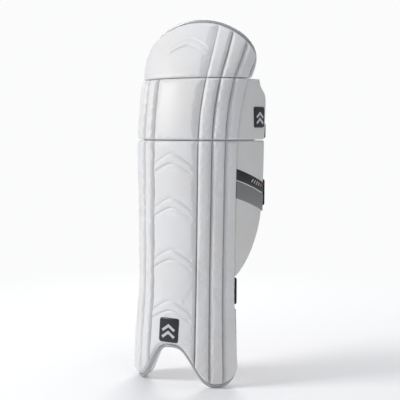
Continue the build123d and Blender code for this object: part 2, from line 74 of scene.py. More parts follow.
# rear edges of the wings: height, y behind the leg's axis
CALF_EDGE = np.array([
    (206.0, -31.0), (215.0, -21.0), (230.0, -7.0), (250.0, 9.0), (275.0, 25.0),
    (300.0, 38.0), (320.0, 45.0), (350.0, 51.0), (400.0, 54.0), (466.0, 54.0)])
KNEE_EDGE = np.array([
    (466.0, 54.5), (520.0, 55.5), (544.0, 55.0), (554.0, 51.0), (562.0, 43.0),
    (570.0, 36.0), (583.0, 33.0)])
# edge of the thigh dome: height, angle
DOME = np.array([
    (579.0, 79.0), (595.0, 79.6), (610.0, 79.0), (624.0, 75.6), (638.0, 69.0), (652.0, 60.0),
    (666.0, 49.0), (678.0, 37.5), (687.0, 27.0), (692.5, 18.5), (695.8, 9.5), (697.0, 0.0)])
# lower edge of the shin: angle, height; the last rows run straight up the side
FOOT = np.array([
    (0.0, 76.0), (7.0, 74.3), (13.0, 67.5), (19.0, 53.0), (25.5, 33.0), (31.0, 17.0),
    (36.0, 8.0), (42.0, 3.2), (49.0, 2.6), (55.5, 4.8), (61.0, 10.0), (65.5, 18.0),
    (68.8, 28.0), (70.4, 40.0), (70.6, 60.0), (70.6, 90.0), (70.6, 120.0), (70.6, 145.0)])
FOOT_ARCH = FOOT[:13]

# z: mid height; back, front: y of the straight run and of the sewn pads' base, behind the leg's
# axis; bow: extra y in the middle; tab: length of the hook tab
Strap = namedtuple("Strap", "name z width half_length back bow tab front anchor_body patch_body")
STRAPS = [
    Strap("knee", 484.0, 28.0, 122.0, 60.4, 5.0, 46.0, 56.8, "knee", "knee"),
    Strap("calf", 364.0, 50.0, 122.0, 58.6, 5.0, 58.0, 55.2, "inner_wing", "outer_wing"),
    Strap("ankle", 179.0, 50.0, 102.0, -23.4, 7.0, 58.0, -28.0, "shin", "shin")]
WEB_HALF_THICKNESS = 1.1


# ------------------------------------------------------------------ the pad's surface
def smooth(t):
    return t * t * (3 - 2 * t)


def hermite(at, xs, ys):
    """Smooth curve through the points (xs, ys)."""
    at = np.clip(np.asarray(at, float), xs[0], xs[-1])
    i = np.clip(np.searchsorted(xs, at, side="right") - 1, 0, len(xs) - 2)
    slope = np.empty_like(ys)
    slope[1:-1] = (ys[2:] - ys[:-2]) / (xs[2:] - xs[:-2])
    slope[0] = (ys[1] - ys[0]) / (xs[1] - xs[0])
    slope[-1] = (ys[-1] - ys[-2]) / (xs[-1] - xs[-2])
    step = xs[i + 1] - xs[i]
    s = (at - xs[i]) / step
    return ((2 * s**3 - 3 * s**2 + 1) * ys[i] + (s**3 - 2 * s**2 + s) * slope[i] * step
            + (-2 * s**3 + 3 * s**2) * ys[i + 1] + (s**3 - s**2) * slope[i + 1] * step)


def along(table, at, column=1):
    return hermite(at, table[:, 0], table[:, column])


def seam(number, z):
    return np.interp(z, SEAM_HEIGHTS, SEAMS[number - 1])


def surface(z, angle, out):
    """Position at height z, an angle round the section and a distance outwards."""
    z, angle, out = np.broadcast_arrays(*(np.asarray(v, float) for v in (z, angle, out)))
    half_x, half_y, centre_y = (along(SHAPE, z, k) for k in (1, 2, 3))
    side = np.where(angle >= 0, 1.0, -1.0)
    turn, last = np.abs(angle), seam(4, z)
    # an ellipse as far as the last seam
    bend = np.radians(np.minimum(turn, last))
    sine, cosine = np.sin(bend), np.cos(bend)
    x, y = half_x * sine, centre_y - half_y * cosine
    start = np.stack([x, y])
    normal = np.stack([sine / half_x, -cosine / half_y])
    # beyond it a quadratic curve that leaves along the ellipse's tangent
    q = np.maximum(turn - last, 0.0) / WING_TURN
    tangent = np.stack([half_x * cosine, half_y * sine])
    control = start + tangent * (42.0 / np.hypot(*tangent))
    end = np.stack([x + 16.5, y + 90.0])
    curve = (1 - q) ** 2 * start + 2 * q * (1 - q) * control + q * q * end
    run = 2 * (1 - q) * (control - start) + 2 * q * (end - control)
    on_curve = turn > last
    point = np.where(on_curve, curve, start)
    normal = np.where(on_curve, np.stack([run[1], -run[0]]), normal)
    x, y = point + out * normal / np.hypot(*normal)
    return np.stack([side * x, LEG_Y + y, z], -1)


def find_angle(z, target, out, axis, low, high):
    """Angle on the outer side where the sheet at this distance out reaches a coordinate."""
    z, target = np.broadcast_arrays(np.asarray(z, float), np.asarray(target, float))
    low, high = np.full(z.shape, low), np.full(z.shape, high)
    for _ in range(32):
        middle = (low + high) / 2
        short = surface(z, middle, out)[..., axis] < target
        low, high = np.where(short, middle, low), np.where(short, high, middle)
    return low


def angle_at_x(z, x, out=0.0):
    """Signed angle where a sheet reaches x."""
    return find_angle(z, np.abs(x), out, 0, 0.0, 135.0) * np.sign(x + 1e-9)


def angle_at_y(z, y, out, low=60.0):
    """Angle on the outer side where a sheet reaches y behind the leg's axis."""
    return find_angle(z, y + LEG_Y, out, 1, low, 140.0)


def on_sheet(x, z, sheet, rise):
    """Point above (x, z) on a sheet, then moved out by rise."""
    return surface(z, angle_at_x(z, x, sheet), sheet + rise)


def on_outer_wing(y, z, rise, sheet=1.0):
    return surface(z, angle_at_y(z, y, sheet, low=55.0), sheet + rise)


def out_normal(points):
    """Outward direction of the pad's surface near some points."""
    z = points[:, 2]
    angle = angle_at_x(z, points[:, 0])
    normal = surface(z, angle, 0.5) - surface(z, angle, 0.0)
    return normal / np.linalg.norm(normal, axis=1)[:, None]


def back_normal(points):
    return np.tile([0.0, 1.0, 0.0], (len(points), 1))


# ------------------------------------------------------------------ noise
def lattice(i, j, k, seed):
    """Pseudo-random value from -1 to 1 at a whole-number point."""
    n = (i * 374761393 + j * 668265263 + k * 2147483647 + seed * 1274126177) & 0xFFFFFFFF
    n = ((n ^ (n >> 13)) * 1274126177) & 0xFFFFFFFF
    return ((n ^ (n >> 16)) & 0xFFFF) / 32767.5 - 1.0


def noise(points, scale, seed):
    """Smooth noise, -1 to 1, with features about scale mm across."""
    q = np.asarray(points, float) / scale + 1000.0
    cell = np.floor(q).astype(np.int64)
    part = smooth(q - cell)
    weights = np.stack([1 - part, part])
    total = 0.0
    for dx, dy, dz in np.ndindex(2, 2, 2):
        weight = weights[dx, ..., 0] * weights[dy, ..., 1] * weights[dz, ..., 2]
        total = total + weight * lattice(cell[..., 0] + dx, cell[..., 1] + dy,
                                         cell[..., 2] + dz, seed)
    return total


def layered_noise(points, scale, seed, octaves=3):
    return sum(noise(points, scale / 2**o, seed + o) / 2**o for o in range(octaves))


# ------------------------------------------------------------------ materials
class Graph:
    """Wires shader nodes. Colours may be given as (r, g, b)."""

    def __init__(self, tree):
        self.tree = tree

    def node(self, kind, **settings):
        node = self.tree.nodes.new(kind)
        for key, value in settings.items():
            setattr(node, key, value)
        return node

    def put(self, socket, value):
        if isinstance(value, bpy.types.NodeSocket):
            self.tree.links.new(value, socket)
        else:
            socket.default_value = (*value, 1.0) if isinstance(value, tuple) else value

    def fill(self, node, inputs):
        for key, value in inputs.items():
            self.put(node.inputs[key], value)

    def math(self, operation, a, b=0.0):
        node = self.node("ShaderNodeMath", operation=operation)
        for socket, value in zip(node.inputs, (a, b, 0.0)):
            self.put(socket, value)
        return node.outputs[0]

    def add(self, a, b):
        return self.math("ADD", a, b)

    def multiply(self, a, b):
        return self.math("MULTIPLY", a, b)

    def wave(self, value, length):
        return self.math("SINE", self.multiply(value, 2 * math.pi / length))

    def step(self, value, start, end):
        """Smooth step from 0 at start to 1 at end (inputs 1 and 2 are the From range)."""
        node = self.node("ShaderNodeMapRange", interpolation_type="SMOOTHSTEP")
        self.fill(node, {0: value, 1: start, 2: end})
        return node.outputs[0]

    def mix(self, factor, a, b):
        """Colour mix (inputs 6 and 7 and output 2 are the colour sockets)."""
        node = self.node("ShaderNodeMix", data_type="RGBA")
        self.fill(node, {0: factor, 6: a, 7: b})
        return node.outputs[2]

    def position(self):
        return self.node("ShaderNodeTexCoord").outputs["Object"]

    def uv(self):
        node = self.node("ShaderNodeSeparateXYZ")
        self.put(node.inputs[0], self.node("ShaderNodeTexCoord").outputs["UV"])
        return node.outputs[0], node.outputs[1]

    def noise(self, vector, scale, detail=3.0, rough=0.55):
        node = self.node("ShaderNodeTexNoise")
        self.fill(node, {"Vector": vector, "Scale": scale, "Detail": detail, "Roughness": rough})
        return node.outputs[0]

    def cells(self, vector, scale):
        node = self.node("ShaderNodeTexVoronoi", feature="F1")
        self.fill(node, {"Vector": vector, "Scale": scale})
        return node.outputs["Distance"]

    def bump(self, height, distance, strength, under=None):
        """Bump of a given depth in metres, laid over another bump."""
        node = self.node("ShaderNodeBump")
        self.fill(node, {"Height": height, "Distance": distance, "Strength": strength})
        if under is not None:
            self.put(node.inputs["Normal"], under)
        return node.outputs[0]


def new_material(name):
    material = bpy.data.materials.new(name)
    material.use_nodes = True
    tree = material.node_tree
    tree.nodes.clear()
    graph = Graph(tree)
    output = graph.node("ShaderNodeOutputMaterial")
    shader = graph.node("ShaderNodeBsdfPrincipled")
    tree.links.new(shader.outputs[0], output.inputs[0])
    return material, graph, shader


def shade(color, factor):
    return tuple(x * factor for x in color)


def leather(name, color, rough, grain=1.0, coat=0.08, wrinkle=1.0):
    material, g, shader = new_material(name)
    position = g.position()
    pores = g.cells(position, scale=780.0)
    fine = g.noise(position, scale=1600.0, detail=2.0)
    soft = g.noise(position, scale=62.0, detail=4.0, rough=0.6)
    tone = g.noise(position, scale=9.0)
    warm = (color[0] * 0.985, color[1] * 0.965, color[2] * 0.93)
    base = g.mix(g.step(tone, start=0.35, end=0.7), color, warm)
    pore_mask = g.multiply(g.step(pores, start=0.28, end=0.02), 0.35)
    bump = g.bump(soft, distance=0.0012, strength=0.42 * wrinkle)
    bump = g.bump(pores, distance=0.00030, strength=0.5 * grain, under=bump)
    g.fill(shader, {
        "Base Color": g.mix(pore_mask, base, shade(color, 0.94)),
        "Roughness": g.add(g.multiply(soft, 0.14), rough - 0.07),
        "Normal": g.bump(fine, distance=0.00008, strength=0.3 * grain, under=bump),
        "Coat Weight": coat,
        "Coat Roughness": 0.35})
    return material


def weave(name, color, gap_shade_color, pitch, rough, sheen, strength, specular):
    """Plain-woven cloth; pitch is the thread spacing in mm."""
    material, g, shader = new_material(name)
    u, v = g.uv()
    threads = g.multiply(g.wave(u, pitch), g.wave(v, pitch))
    position = g.position()
    tone = g.noise(position, scale=26.0, detail=4.0)
    base = g.mix(g.step(tone, start=0.3, end=0.72), color, shade(color, 0.88))
    creases = g.bump(g.noise(position, scale=70.0), distance=0.0009, strength=0.25)
    g.fill(shader, {
        # painted shade: the thread crossings that lie low in the bump are darkened to the gap
        # colour
        "Base Color": g.mix(g.step(threads, start=0.3, end=-0.7), base, gap_shade_color),
        "Roughness": g.add(g.multiply(tone, 0.1), rough - 0.05),
        "Normal": g.bump(threads, distance=0.00012, strength=strength, under=creases),
        "Sheen Weight": sheen,
        "Specular IOR Level": specular})
    return material


def open_mesh(name, dark, light, pitch, cut, soft):
    """Light diamond cells over a dark ground; cut and soft set where the cells end."""
    material, g, shader = new_material(name)
    u, v = g.uv()
    diagonals = g.multiply(g.wave(g.add(u, v), 2 * pitch),
                           g.wave(g.math("SUBTRACT", u, v), 2 * pitch))
    mask = g.step(diagonals, start=cut, end=cut + soft)
    tone = g.noise(g.position(), scale=40.0)
    cell = g.mix(g.step(tone, start=0.3, end=0.75), light, shade(light, 0.8))
    thread = g.wave(u, 0.45)
    relief = g.bump(mask, distance=0.0007, strength=0.8)
    g.fill(shader, {
        "Base Color": g.mix(mask, dark, cell),
        "Roughness": g.math("SUBTRACT", 0.8, g.multiply(mask, 0.22)),
        "Normal": g.bump(thread, distance=0.00006, strength=0.5, under=relief),
        "Specular IOR Level": 0.3})
    return material


def webbing(name, width):
    """Striped webbing: grey below, a thin black line, orange above."""
    grey, black, orange = (0.27, 0.27, 0.29), (0.012, 0.012, 0.013), (0.80, 0.27, 0.07)
    groove_shade, worn = (0.02, 0.015, 0.012), (0.9, 0.8, 0.7)
    material, g, shader = new_material(name)
    u, v = g.uv()
    level = g.math("DIVIDE", v, width)
    stripes = g.mix(g.step(level, start=0.288, end=0.296), grey, black)
    stripes = g.mix(g.step(level, start=0.388, end=0.396), stripes, orange)
    rib = g.wave(u, 1.15)
    cord = g.wave(v, 0.75)
    height = g.add(g.multiply(rib, 0.6), g.multiply(g.multiply(rib, cord), 0.5))
    tone = g.noise(g.position(), scale=90.0, detail=4.0)
    # painted shade: the low parts of the woven rib and cord are darkened towards near black
    groove_shade_mask = g.multiply(g.step(height, start=0.1, end=-0.8), 0.3)
    worn_mask = g.multiply(g.step(tone, start=0.45, end=0.8), 0.1)
    creases = g.bump(tone, distance=0.0005, strength=0.2)
    g.fill(shader, {
        "Base Color": g.mix(worn_mask, g.mix(groove_shade_mask, stripes, groove_shade), worn),
        "Roughness": 0.62,
        "Sheen Weight": 0.25,
        "Normal": g.bump(height, distance=0.00022, strength=0.6, under=creases)})
    return material


def plastic(name, color, rough, bump, scale=900.0, coat=0.0, metallic=0.0, wear=0.05):
    """Finely textured solid colour; also used for thread, foam and board."""
    material, g, shader = new_material(name)
    position = g.position()
    texture = g.noise(position, scale=scale)
    tone = g.noise(position, scale=45.0, detail=4.0)
    worn = tuple(min(1.0, x + 0.25) for x in color)
    wear_mask = g.multiply(g.step(tone, start=0.4, end=0.8), wear)
    g.fill(shader, {
        "Base Color": g.mix(wear_mask, color, worn),
        "Roughness": g.add(g.multiply(tone, 0.16), rough - 0.08),
        "Normal": g.bump(texture, distance=0.00010, strength=bump),
        "Coat Weight": coat,
        "Coat Roughness": 0.15,
        "Metallic": metallic})
    return material


def cane(name):
    """Fibrous cane, its noise stretched along z."""
    material, g, shader = new_material(name)
    mapping = g.node("ShaderNodeMapping")
    g.put(mapping.inputs[0], g.position())
    mapping.inputs["Scale"].default_value = (1.0, 1.0, 0.04)
    fibre = g.noise(mapping.outputs[0], scale=900.0, detail=4.0)
    mask = g.step(fibre, start=0.35, end=0.7)
    g.fill(shader, {
        "Base Color": g.mix(mask, (0.62, 0.45, 0.22), (0.36, 0.22, 0.09)),
        "Roughness": 0.55,
        "Normal": g.bump(fibre, distance=0.0003, strength=0.6)})
    return material


WHITE = leather("white_leather", (0.745, 0.745, 0.76), rough=0.45)
# Darker, warmer copy of white_leather for the wings, the joint gussets and the wing seam skins. Its
# warm grey is painted shade on the same white leather; its rougher, more wrinkled finish is real.
SHADED_WHITE_WING = leather("white_leather_soft", (0.725, 0.72, 0.712), rough=0.52, grain=0.9,
                     coat=0.04, wrinkle=1.3)
LINING_WHITE = leather("white_lining_leather", (0.74, 0.725, 0.72), rough=0.55, grain=0.8,
                       coat=0.03, wrinkle=1.2)
SILVER = plastic("silver_binding", (0.40, 0.41, 0.43), rough=0.30, bump=0.3, scale=1500.0,
                 coat=0.3, metallic=0.25, wear=0.06)
BLACK_GLOSS = plastic("black_badge", (0.012, 0.012, 0.014), rough=0.30, bump=0.35,
                      scale=1400.0, coat=0.25, wear=0.02)
BLACK_EDGE = plastic("black_badge_rim", (0.010, 0.010, 0.012), rough=0.42, bump=0.4,
                     coat=0.1, wear=0.02)
MARK = plastic("pale_grey_mark", (0.58, 0.58, 0.60), rough=0.38, bump=0.25, coat=0.1)
GREY_FILM = leather("grey_film", (0.23, 0.23, 0.235), rough=0.40, grain=0.6, coat=0.1,
                    wrinkle=0.8)
BLACK_FILM = leather("black_film", (0.018, 0.018, 0.02), rough=0.36, grain=0.6, coat=0.15,
                     wrinkle=0.8)
ORANGE = weave("orange_satin", (0.86, 0.20, 0.018), (0.70, 0.13, 0.01), pitch=0.5,
               rough=0.5, sheen=0.25, strength=0.4, specular=0.5)
ORANGE_DEEP = weave("orange_bolster", (0.82, 0.15, 0.012), (0.6, 0.08, 0.006), pitch=0.6,
                    rough=0.55, sheen=0.3, strength=0.5, specular=0.45)
STRIP = weave("orange_strip", (0.78, 0.17, 0.015), (0.55, 0.10, 0.008), pitch=1.1,
              rough=0.6, sheen=0.3, strength=0.8, specular=0.35)
BLACK_CLOTH = weave("black_lining", (0.018, 0.018, 0.020), (0.006, 0.006, 0.007), pitch=0.6,
                    rough=0.72, sheen=0.25, strength=0.6, specular=0.3)
BAND_BLACK = weave("black_band", (0.016, 0.018, 0.020), (0.006, 0.006, 0.007), pitch=0.45,
                   rough=0.5, sheen=0.15, strength=0.3, specular=0.4)
BAND_GREY = weave("grey_band", (0.25, 0.25, 0.265), (0.19, 0.19, 0.20), pitch=0.45,
                  rough=0.5, sheen=0.2, strength=0.3, specular=0.4)
DOTS = open_mesh("dotted_mesh", (0.014, 0.014, 0.015), (0.34, 0.34, 0.35), pitch=2.7,
                 cut=0.10, soft=0.14)
RED_MESH = open_mesh("orange_mesh", (0.035, 0.008, 0.006), (0.66, 0.13, 0.035), pitch=2.9,
                     cut=0.22, soft=0.16)
TAB = plastic("tab_rubber", (0.017, 0.017, 0.019), rough=0.5, bump=0.6, scale=1100.0, wear=0.02)
PATCH = weave("hook_patch", (0.02, 0.02, 0.022), (0.004, 0.004, 0.004), pitch=1.0,
              rough=0.85, sheen=0.5, strength=1.0, specular=0.2)
EMBLEM = plastic("white_emblem", (0.80, 0.80, 0.79), rough=0.35, bump=0.2, coat=0.2)
THREAD_WHITE, THREAD_DARK, THREAD_GREY = (
    plastic(name, color, rough=0.6, bump=0.6, scale=3000.0)
    for name, color in (("white_thread", (0.74, 0.74, 0.74)),
                        ("dark_thread", (0.05, 0.05, 0.055)),
                        ("grey_thread", (0.34, 0.34, 0.36))))
CANE = cane("split_cane")
BOARD = plastic("foam_board", (0.72, 0.70, 0.62), rough=0.8, bump=0.8, scale=500.0)
FOAM = plastic("closed_cell_foam", (0.16, 0.16, 0.17), rough=0.85, bump=0.9, scale=800.0)
WEBBING = {s.name: webbing(f"webbing_{s.name}", s.width) for s in STRAPS}


# ------------------------------------------------------------------ mesh building
def build(name, points, faces, mat, uv=None, smooth_faces=True, body=None, node=None):
    """Object from points in mm; node is the frame piece that it replaces."""
    mesh = bpy.data.meshes.new(name)
    mesh.from_pydata((np.asarray(points, float) / 1000.0).tolist(), [], faces)
    mesh.update()
    if uv is not None:
        layer = mesh.uv_layers.new(name="UVMap")
        index = np.empty(len(mesh.loops), np.int32)
        mesh.loops.foreach_get("vertex_index", index)
        layer.data.foreach_set("uv", np.asarray(uv, np.float32)[index].ravel())
    mesh.polygons.foreach_set("use_smooth", np.full(len(mesh.polygons), smooth_faces))
    mesh.materials.append(mat)
    obj = bpy.data.objects.new(name, mesh)
    bpy.context.scene.collection.objects.link(obj)
    if body:
        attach(obj, body)
    if node:
        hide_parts(node)
    return obj


def fix_normals(obj):
    """Turns faces outwards and creases the edges where a face meets a side wall."""
    bm = bmesh.new()
    bm.from_mesh(obj.data)
    bmesh.ops.recalc_face_normals(bm, faces=bm.faces)
    bm.to_mesh(obj.data)
    bm.free()
    obj.data.set_sharp_from_angle(angle=math.radians(55))


def arc(points, axis):
    """Distance travelled along one axis of a grid of points."""
    steps = np.linalg.norm(np.diff(points, axis=axis), axis=-1)
    start = np.zeros_like(np.take(steps, [0], axis=axis))
    return np.cumsum(np.concatenate([start, steps], axis=axis), axis=axis)


def grid_faces(index):
    corners = [index[:-1, :-1], index[1:, :-1], index[1:, 1:], index[:-1, 1:]]
    return np.stack(corners, -1).reshape(-1, 4)


def shell(name, outer, inner, uv, mat, body=None, node=None, slot=None):
    """Closed shell between two grids of points."""
    count = outer.shape[0] * outer.shape[1]
    index = np.arange(count).reshape(outer.shape[:2])
    rim = np.concatenate([index[:, 0], index[-1, 1:], index[-2::-1, -1], index[0, -2:0:-1]])
    after = np.roll(rim, -1)
    faces = np.concatenate([grid_faces(index), grid_faces(index + count)[:, ::-1],
                            np.stack([after, rim, rim + count, after + count], -1)])
    points = np.concatenate([outer.reshape(-1, 3), inner.reshape(-1, 3)])
    obj = build(name, points, faces.tolist(), mat, uv, True, body, node)
    fix_normals(obj)
    return obj


# Distances across a panel: edge to the nearest edge (blended at corners), sides to the nearer
# side edge, ends to the nearer end, low and high to the lower and upper end; points on the surface
Panel = namedtuple("Panel", "edge sides ends low high points")


def measure(angles, heights):
    points = surface(heights, angles, 0.0)
    across, up = arc(points, 0), arc(points, 1)
    sides = np.minimum(across, across[-1:, :] - across)
    down = up[:, -1:] - up
    ends = np.minimum(up, down)
    blend = 3.0
    edge = -blend * np.log(np.exp(-sides / blend) + np.exp(-ends / blend) + 1e-12)
    edge = np.minimum(np.clip(edge, 0, None), np.minimum(sides, ends))
    return Panel(edge, sides, ends, up, down, points)


def slab(name, grid, outer, inner, mat, body=None, node=None, slot=None):
    """Closed panel on a grid of (angles, heights). outer and inner are the distances out of
    its two faces: numbers, or functions of its Panel. Returns the object and Panel.edge."""
    angles, heights = grid
    panel = measure(angles, heights)
    sheets = [surface(heights, angles, out(panel) if callable(out) else out)
              for out in (outer, inner)]
    uv = []
    middle = len(angles) // 2
    for sheet in sheets:
        u, v = arc(sheet, 0), arc(sheet, 1)
        uv.append(np.stack([u - u[middle:middle + 1], v + heights[:, :1]], -1).reshape(-1, 2))
    obj = shell(name, *sheets, np.concatenate(uv), mat, body, node, slot)
    return obj, panel.edge


def between(start, end, across, heights, side=1):
    """Grid whose columns run between two angles, each fixed or given at every height."""
    angles = start + (end - start) * across[:, None] + 0 * heights
    return side * angles, heights + 0 * angles


def uprights(angles, low, high, rise):
    """Grid of upright columns, each between its own low and high."""
    heights = low[:, None] + (high - low)[:, None] * rise
    return angles[:, None] + 0 * heights, heights


def seam_spacing(count, ease=0.35):
    """0 to 1, closer together at both ends."""
    s = np.linspace(0, 1, count)
    return (1 - ease) * s + ease * (s - np.sin(2 * np.pi * s) / (2 * np.pi))


def eased(low, high, count, ease):
    """low to high, closer together at both ends."""
    s = np.linspace(0, 1, count)
    return low + (high - low) * ((1 - ease) * s + ease * (1 - np.cos(np.pi * s)) / 2)


def two_speed(split, low_count, high_count):
    """0 to 1, with its own number of steps below the split."""
    return np.concatenate([np.linspace(0, split, low_count)[:-1],
                           np.linspace(split, 1, high_count)])


def puff(distance, reach, power=2.4):
    """Fullness of stuffing: 0 at an edge, 1 from reach inwards."""
    return 1 - (1 - np.clip(distance / reach, 0, 1)) ** power


def ridge(distance, width):
    return np.exp(-(distance / width) ** 2)


def skin(valley, crown, reach, power, seed, relief=None, pucker=0.7, wave=0.8,
         foot_end=0.5, top_end=0.5):
    """Outer face of a stuffed panel: valley deep at its seams, crown high in the middle.
    foot_end and top_end say how full it still is where it ends below and above."""
    def end_fill(distance, fullness):
        end_reach = 8.0 if fullness < 0.3 else 5.5
        return fullness + (1 - fullness) * puff(distance, end_reach)

    def outer(panel):
        edge, points = panel.edge, panel.points
        full = (puff(panel.sides, reach, power) * end_fill(panel.low, foot_end)
                * end_fill(panel.high, top_end))
        out = -valley + (valley + crown) * full
        out = out + pucker * ridge(edge - 4.0, 4.0) * noise(points, 7.0, seed + 5)
        folds = (layered_noise(points, 70.0, seed, 2)
                 + 0.35 * layered_noise(points, 24.0, seed + 9, 2))
        out = out + wave * puff(edge, reach * 1.2) * folds
        if relief is not None:
            out = out + relief(points)
        return out
    return outer


def pressed_chevrons(tips, centre_x, drop, drop_width, curve, gap, lower_drop, depth, width,
                     swell, ramp, half_width, soft_fade):
    """Relief of chevrons, each two pressed grooves with the band between them raised.
    The arms fall by drop at drop_width from the centre; gap parts the two grooves."""
    def relief(points):
        x, z = points[..., 0] - centre_x, points[..., 2]
        reach = np.sqrt(x * x + 60.0) - np.sqrt(60.0)
        fall = drop * (reach / drop_width) ** curve
        fade = np.clip((half_width - np.abs(x)) / 8.0, 0, 1)
        if soft_fade:
            fade = smooth(fade)
        out = 0.0
        for tip in tips:
            upper = z - (tip - fall)
            lower = z - (tip - gap - fall * lower_drop)
            inside = np.clip((-upper - 1.0) / ramp, 0, 1) * np.clip((lower - 1.0) / ramp, 0, 1)
            out = out - depth * ridge(upper, width) - depth * ridge(lower, width) + swell * inside
        return out * fade
    return relief


def tube(name, path, radius, mat, body, node=None, *, sides, seed, capped=True):
    """Round cord along a path, its frame carried along without twist."""
    path = np.asarray(path, float)
    tangent = np.gradient(path, axis=0)
    tangent /= np.linalg.norm(tangent, axis=1)[:, None]
    normal = np.zeros_like(path)
    helper = [0.0, 0.0, 1.0] if abs(tangent[0, 2]) < 0.9 else [1.0, 0.0, 0.0]
    normal[0] = np.cross(tangent[0], helper)
    normal[0] /= np.linalg.norm(normal[0])
    for i in range(1, len(path)):
        carried = normal[i - 1] - tangent[i] * (normal[i - 1] @ tangent[i])
        normal[i] = carried / np.linalg.norm(carried)
    binormal = np.cross(tangent, normal)
    turn = np.linspace(0, 2 * np.pi, sides, endpoint=False)
    radii = radius * (1 + 0.02 * noise(path, 9.0, seed))[:, None, None]
    points = path[:, None, :] + radii * (np.cos(turn)[None, :, None] * normal[:, None, :]
                                         + np.sin(turn)[None, :, None] * binormal[:, None, :])
    faces = ring_faces(len(path), sides).tolist()
    if capped:
        faces.append(list(range(sides))[::-1])
        faces.append([(len(path) - 1) * sides + k for k in range(sides)])
    uv = np.stack([np.repeat(arc(path, 0), sides), np.tile(turn * radius, len(path))], -1)
    return build(name, points.reshape(-1, 3), faces, mat, uv, True, body, node)


def ring_faces(rings, sides):
    """Faces joining successive closed rings of points."""
    i, j = np.meshgrid(np.arange(rings - 1), np.arange(sides), indexing="ij")
    k = (j + 1) % sides
    corners = [i * sides + j, i * sides + k, (i + 1) * sides + k, (i + 1) * sides + j]
    return np.stack(corners, -1).reshape(-1, 4)


def resample(path, pitch):
    path = np.asarray(path, float)
    length = arc(path, 0)
    count = max(int(length[-1] / pitch), 2)
    stations = np.linspace(0, length[-1], count + 1)
    return np.stack([np.interp(stations, length, path[:, k]) for k in range(3)], -1)


STITCH_ROWS = {}


def stitches(name, path, mat, body, seed, normal=out_normal, pitch=4.2, length=2.8,
             radius=0.4, lift=0.15):
    """A row of thread stitches along a path; rows of one name share a mesh."""
    path = resample(path, pitch)
    middle = (path[1:] + path[:-1]) / 2
    tangent = path[1:] - path[:-1]
    tangent /= np.linalg.norm(tangent, axis=1)[:, None]
    up = normal(middle)
    up = up - tangent * (up * tangent).sum(1)[:, None]
    up /= np.linalg.norm(up, axis=1)[:, None]
    across = np.cross(tangent, up)
    stray = np.random.default_rng(seed).normal(0, 0.06, len(middle))
    middle = middle + across * stray[:, None] + up * lift
    # five rings of six points, thin and sunk at the ends
    place = (np.array([-0.5, -0.36, 0.0, 0.36, 0.5]) * length)[None, :, None, None]
    radii = (np.array([0.35, 0.85, 1.0, 0.85, 0.35]) * radius)[None, :, None, None]
    sink = (np.array([-0.55, -0.12, 0.1, -0.12, -0.55]) * radius * 2)[None, :, None, None]
    turn = np.linspace(0, 2 * np.pi, 6, endpoint=False)[None, None, :, None]
    tangent, up, across, middle = (a[:, None, None, :] for a in (tangent, up, across, middle))
    points = (middle + place * tangent + (sink + radii * np.cos(turn)) * up
              + radii * np.sin(turn) * across)
    offsets = np.arange(len(points)) * 30
    faces = (ring_faces(5, 6)[None] + offsets[:, None, None]).reshape(-1, 4)
    STITCH_ROWS.setdefault((name, body, mat.name), []).append((points.reshape(-1, 3), faces))


def build_stitches():
    for (name, body, mat_name), rows in STITCH_ROWS.items():
        offset = 0
        all_faces = []
        for points, faces in rows:
            all_faces.append(faces + offset)
            offset += len(points)
        build(name, np.concatenate([points for points, _ in rows]),
              np.concatenate(all_faces).tolist(), bpy.data.materials[mat_name], body=body)


def patch(name, outline, rings, height, mat, body, place, node, back):
    """Flat-backed moulding. outline is (u, v) in mm, repeated at each scale in rings; height
    gives its top at each scale; place maps (u, v, height) to a position."""
    flat = np.concatenate([outline * r for r in rings])
    n = len(outline)
    count = len(flat)
    tops = np.repeat([height(r) for r in rings], n)
    points = np.concatenate([place(flat[:, 0], flat[:, 1], tops),
                             place(flat[:, 0], flat[:, 1], np.full(count, back))])
    faces = []
    for base in (0, count):
        faces += (ring_faces(len(rings), n)[:, [0, 1, 2, 3]] + base).tolist()
        faces.append([base + i for i in range(n)][::-1])
    for i in range(n):
        here, after = count - n + i, count - n + (i + 1) % n
        faces.append([here, after, count + after, count + here])
    obj = build(name, points, faces, mat, np.concatenate([flat, flat]), True, body, node)
    fix_normals(obj)


def rounded_edge(top, drop, start, power=1):
    """Height profile for patch: level out to start, then falling by drop at the edge."""
    return lambda r: top - drop * (max(r - start, 0) / (1 - start)) ** power


def polygon(corners, step):
    """Closed outline through the corners, with points about step apart."""
    corners = np.array(corners, float)
    points = []
    for here, after in zip(corners, np.roll(corners, -1, axis=0)):
        count = max(int(np.linalg.norm(after - here) / step), 1)
        points += [here + (after - here) * k / count for k in range(count)]
    return np.array(points)


def rounded(width, height, radius):
    """Rectangle with rounded corners, centred on the origin."""
    x, y = width / 2 - radius, height / 2 - radius
    corners = []
    for centre_x, centre_y, first in ((x, y, 0), (-x, y, 90), (-x, -y, 180), (x, -y, 270)):
        for k in range(11):
            a = math.radians(first + 9 * k)
            corners.append((centre_x + radius * math.cos(a), centre_y + radius * math.sin(a)))
    return polygon(corners, step=2.5)


def hexagon(radius, count=6):
    turns = [math.radians(60 * k) for k in range(count)]
    return [(radius * math.cos(a), radius * math.sin(a)) for a in turns]


def closed(outline):
    """Outline with its first point repeated, as separate u and v."""
    return np.concatenate([outline, outline[:1]]).T


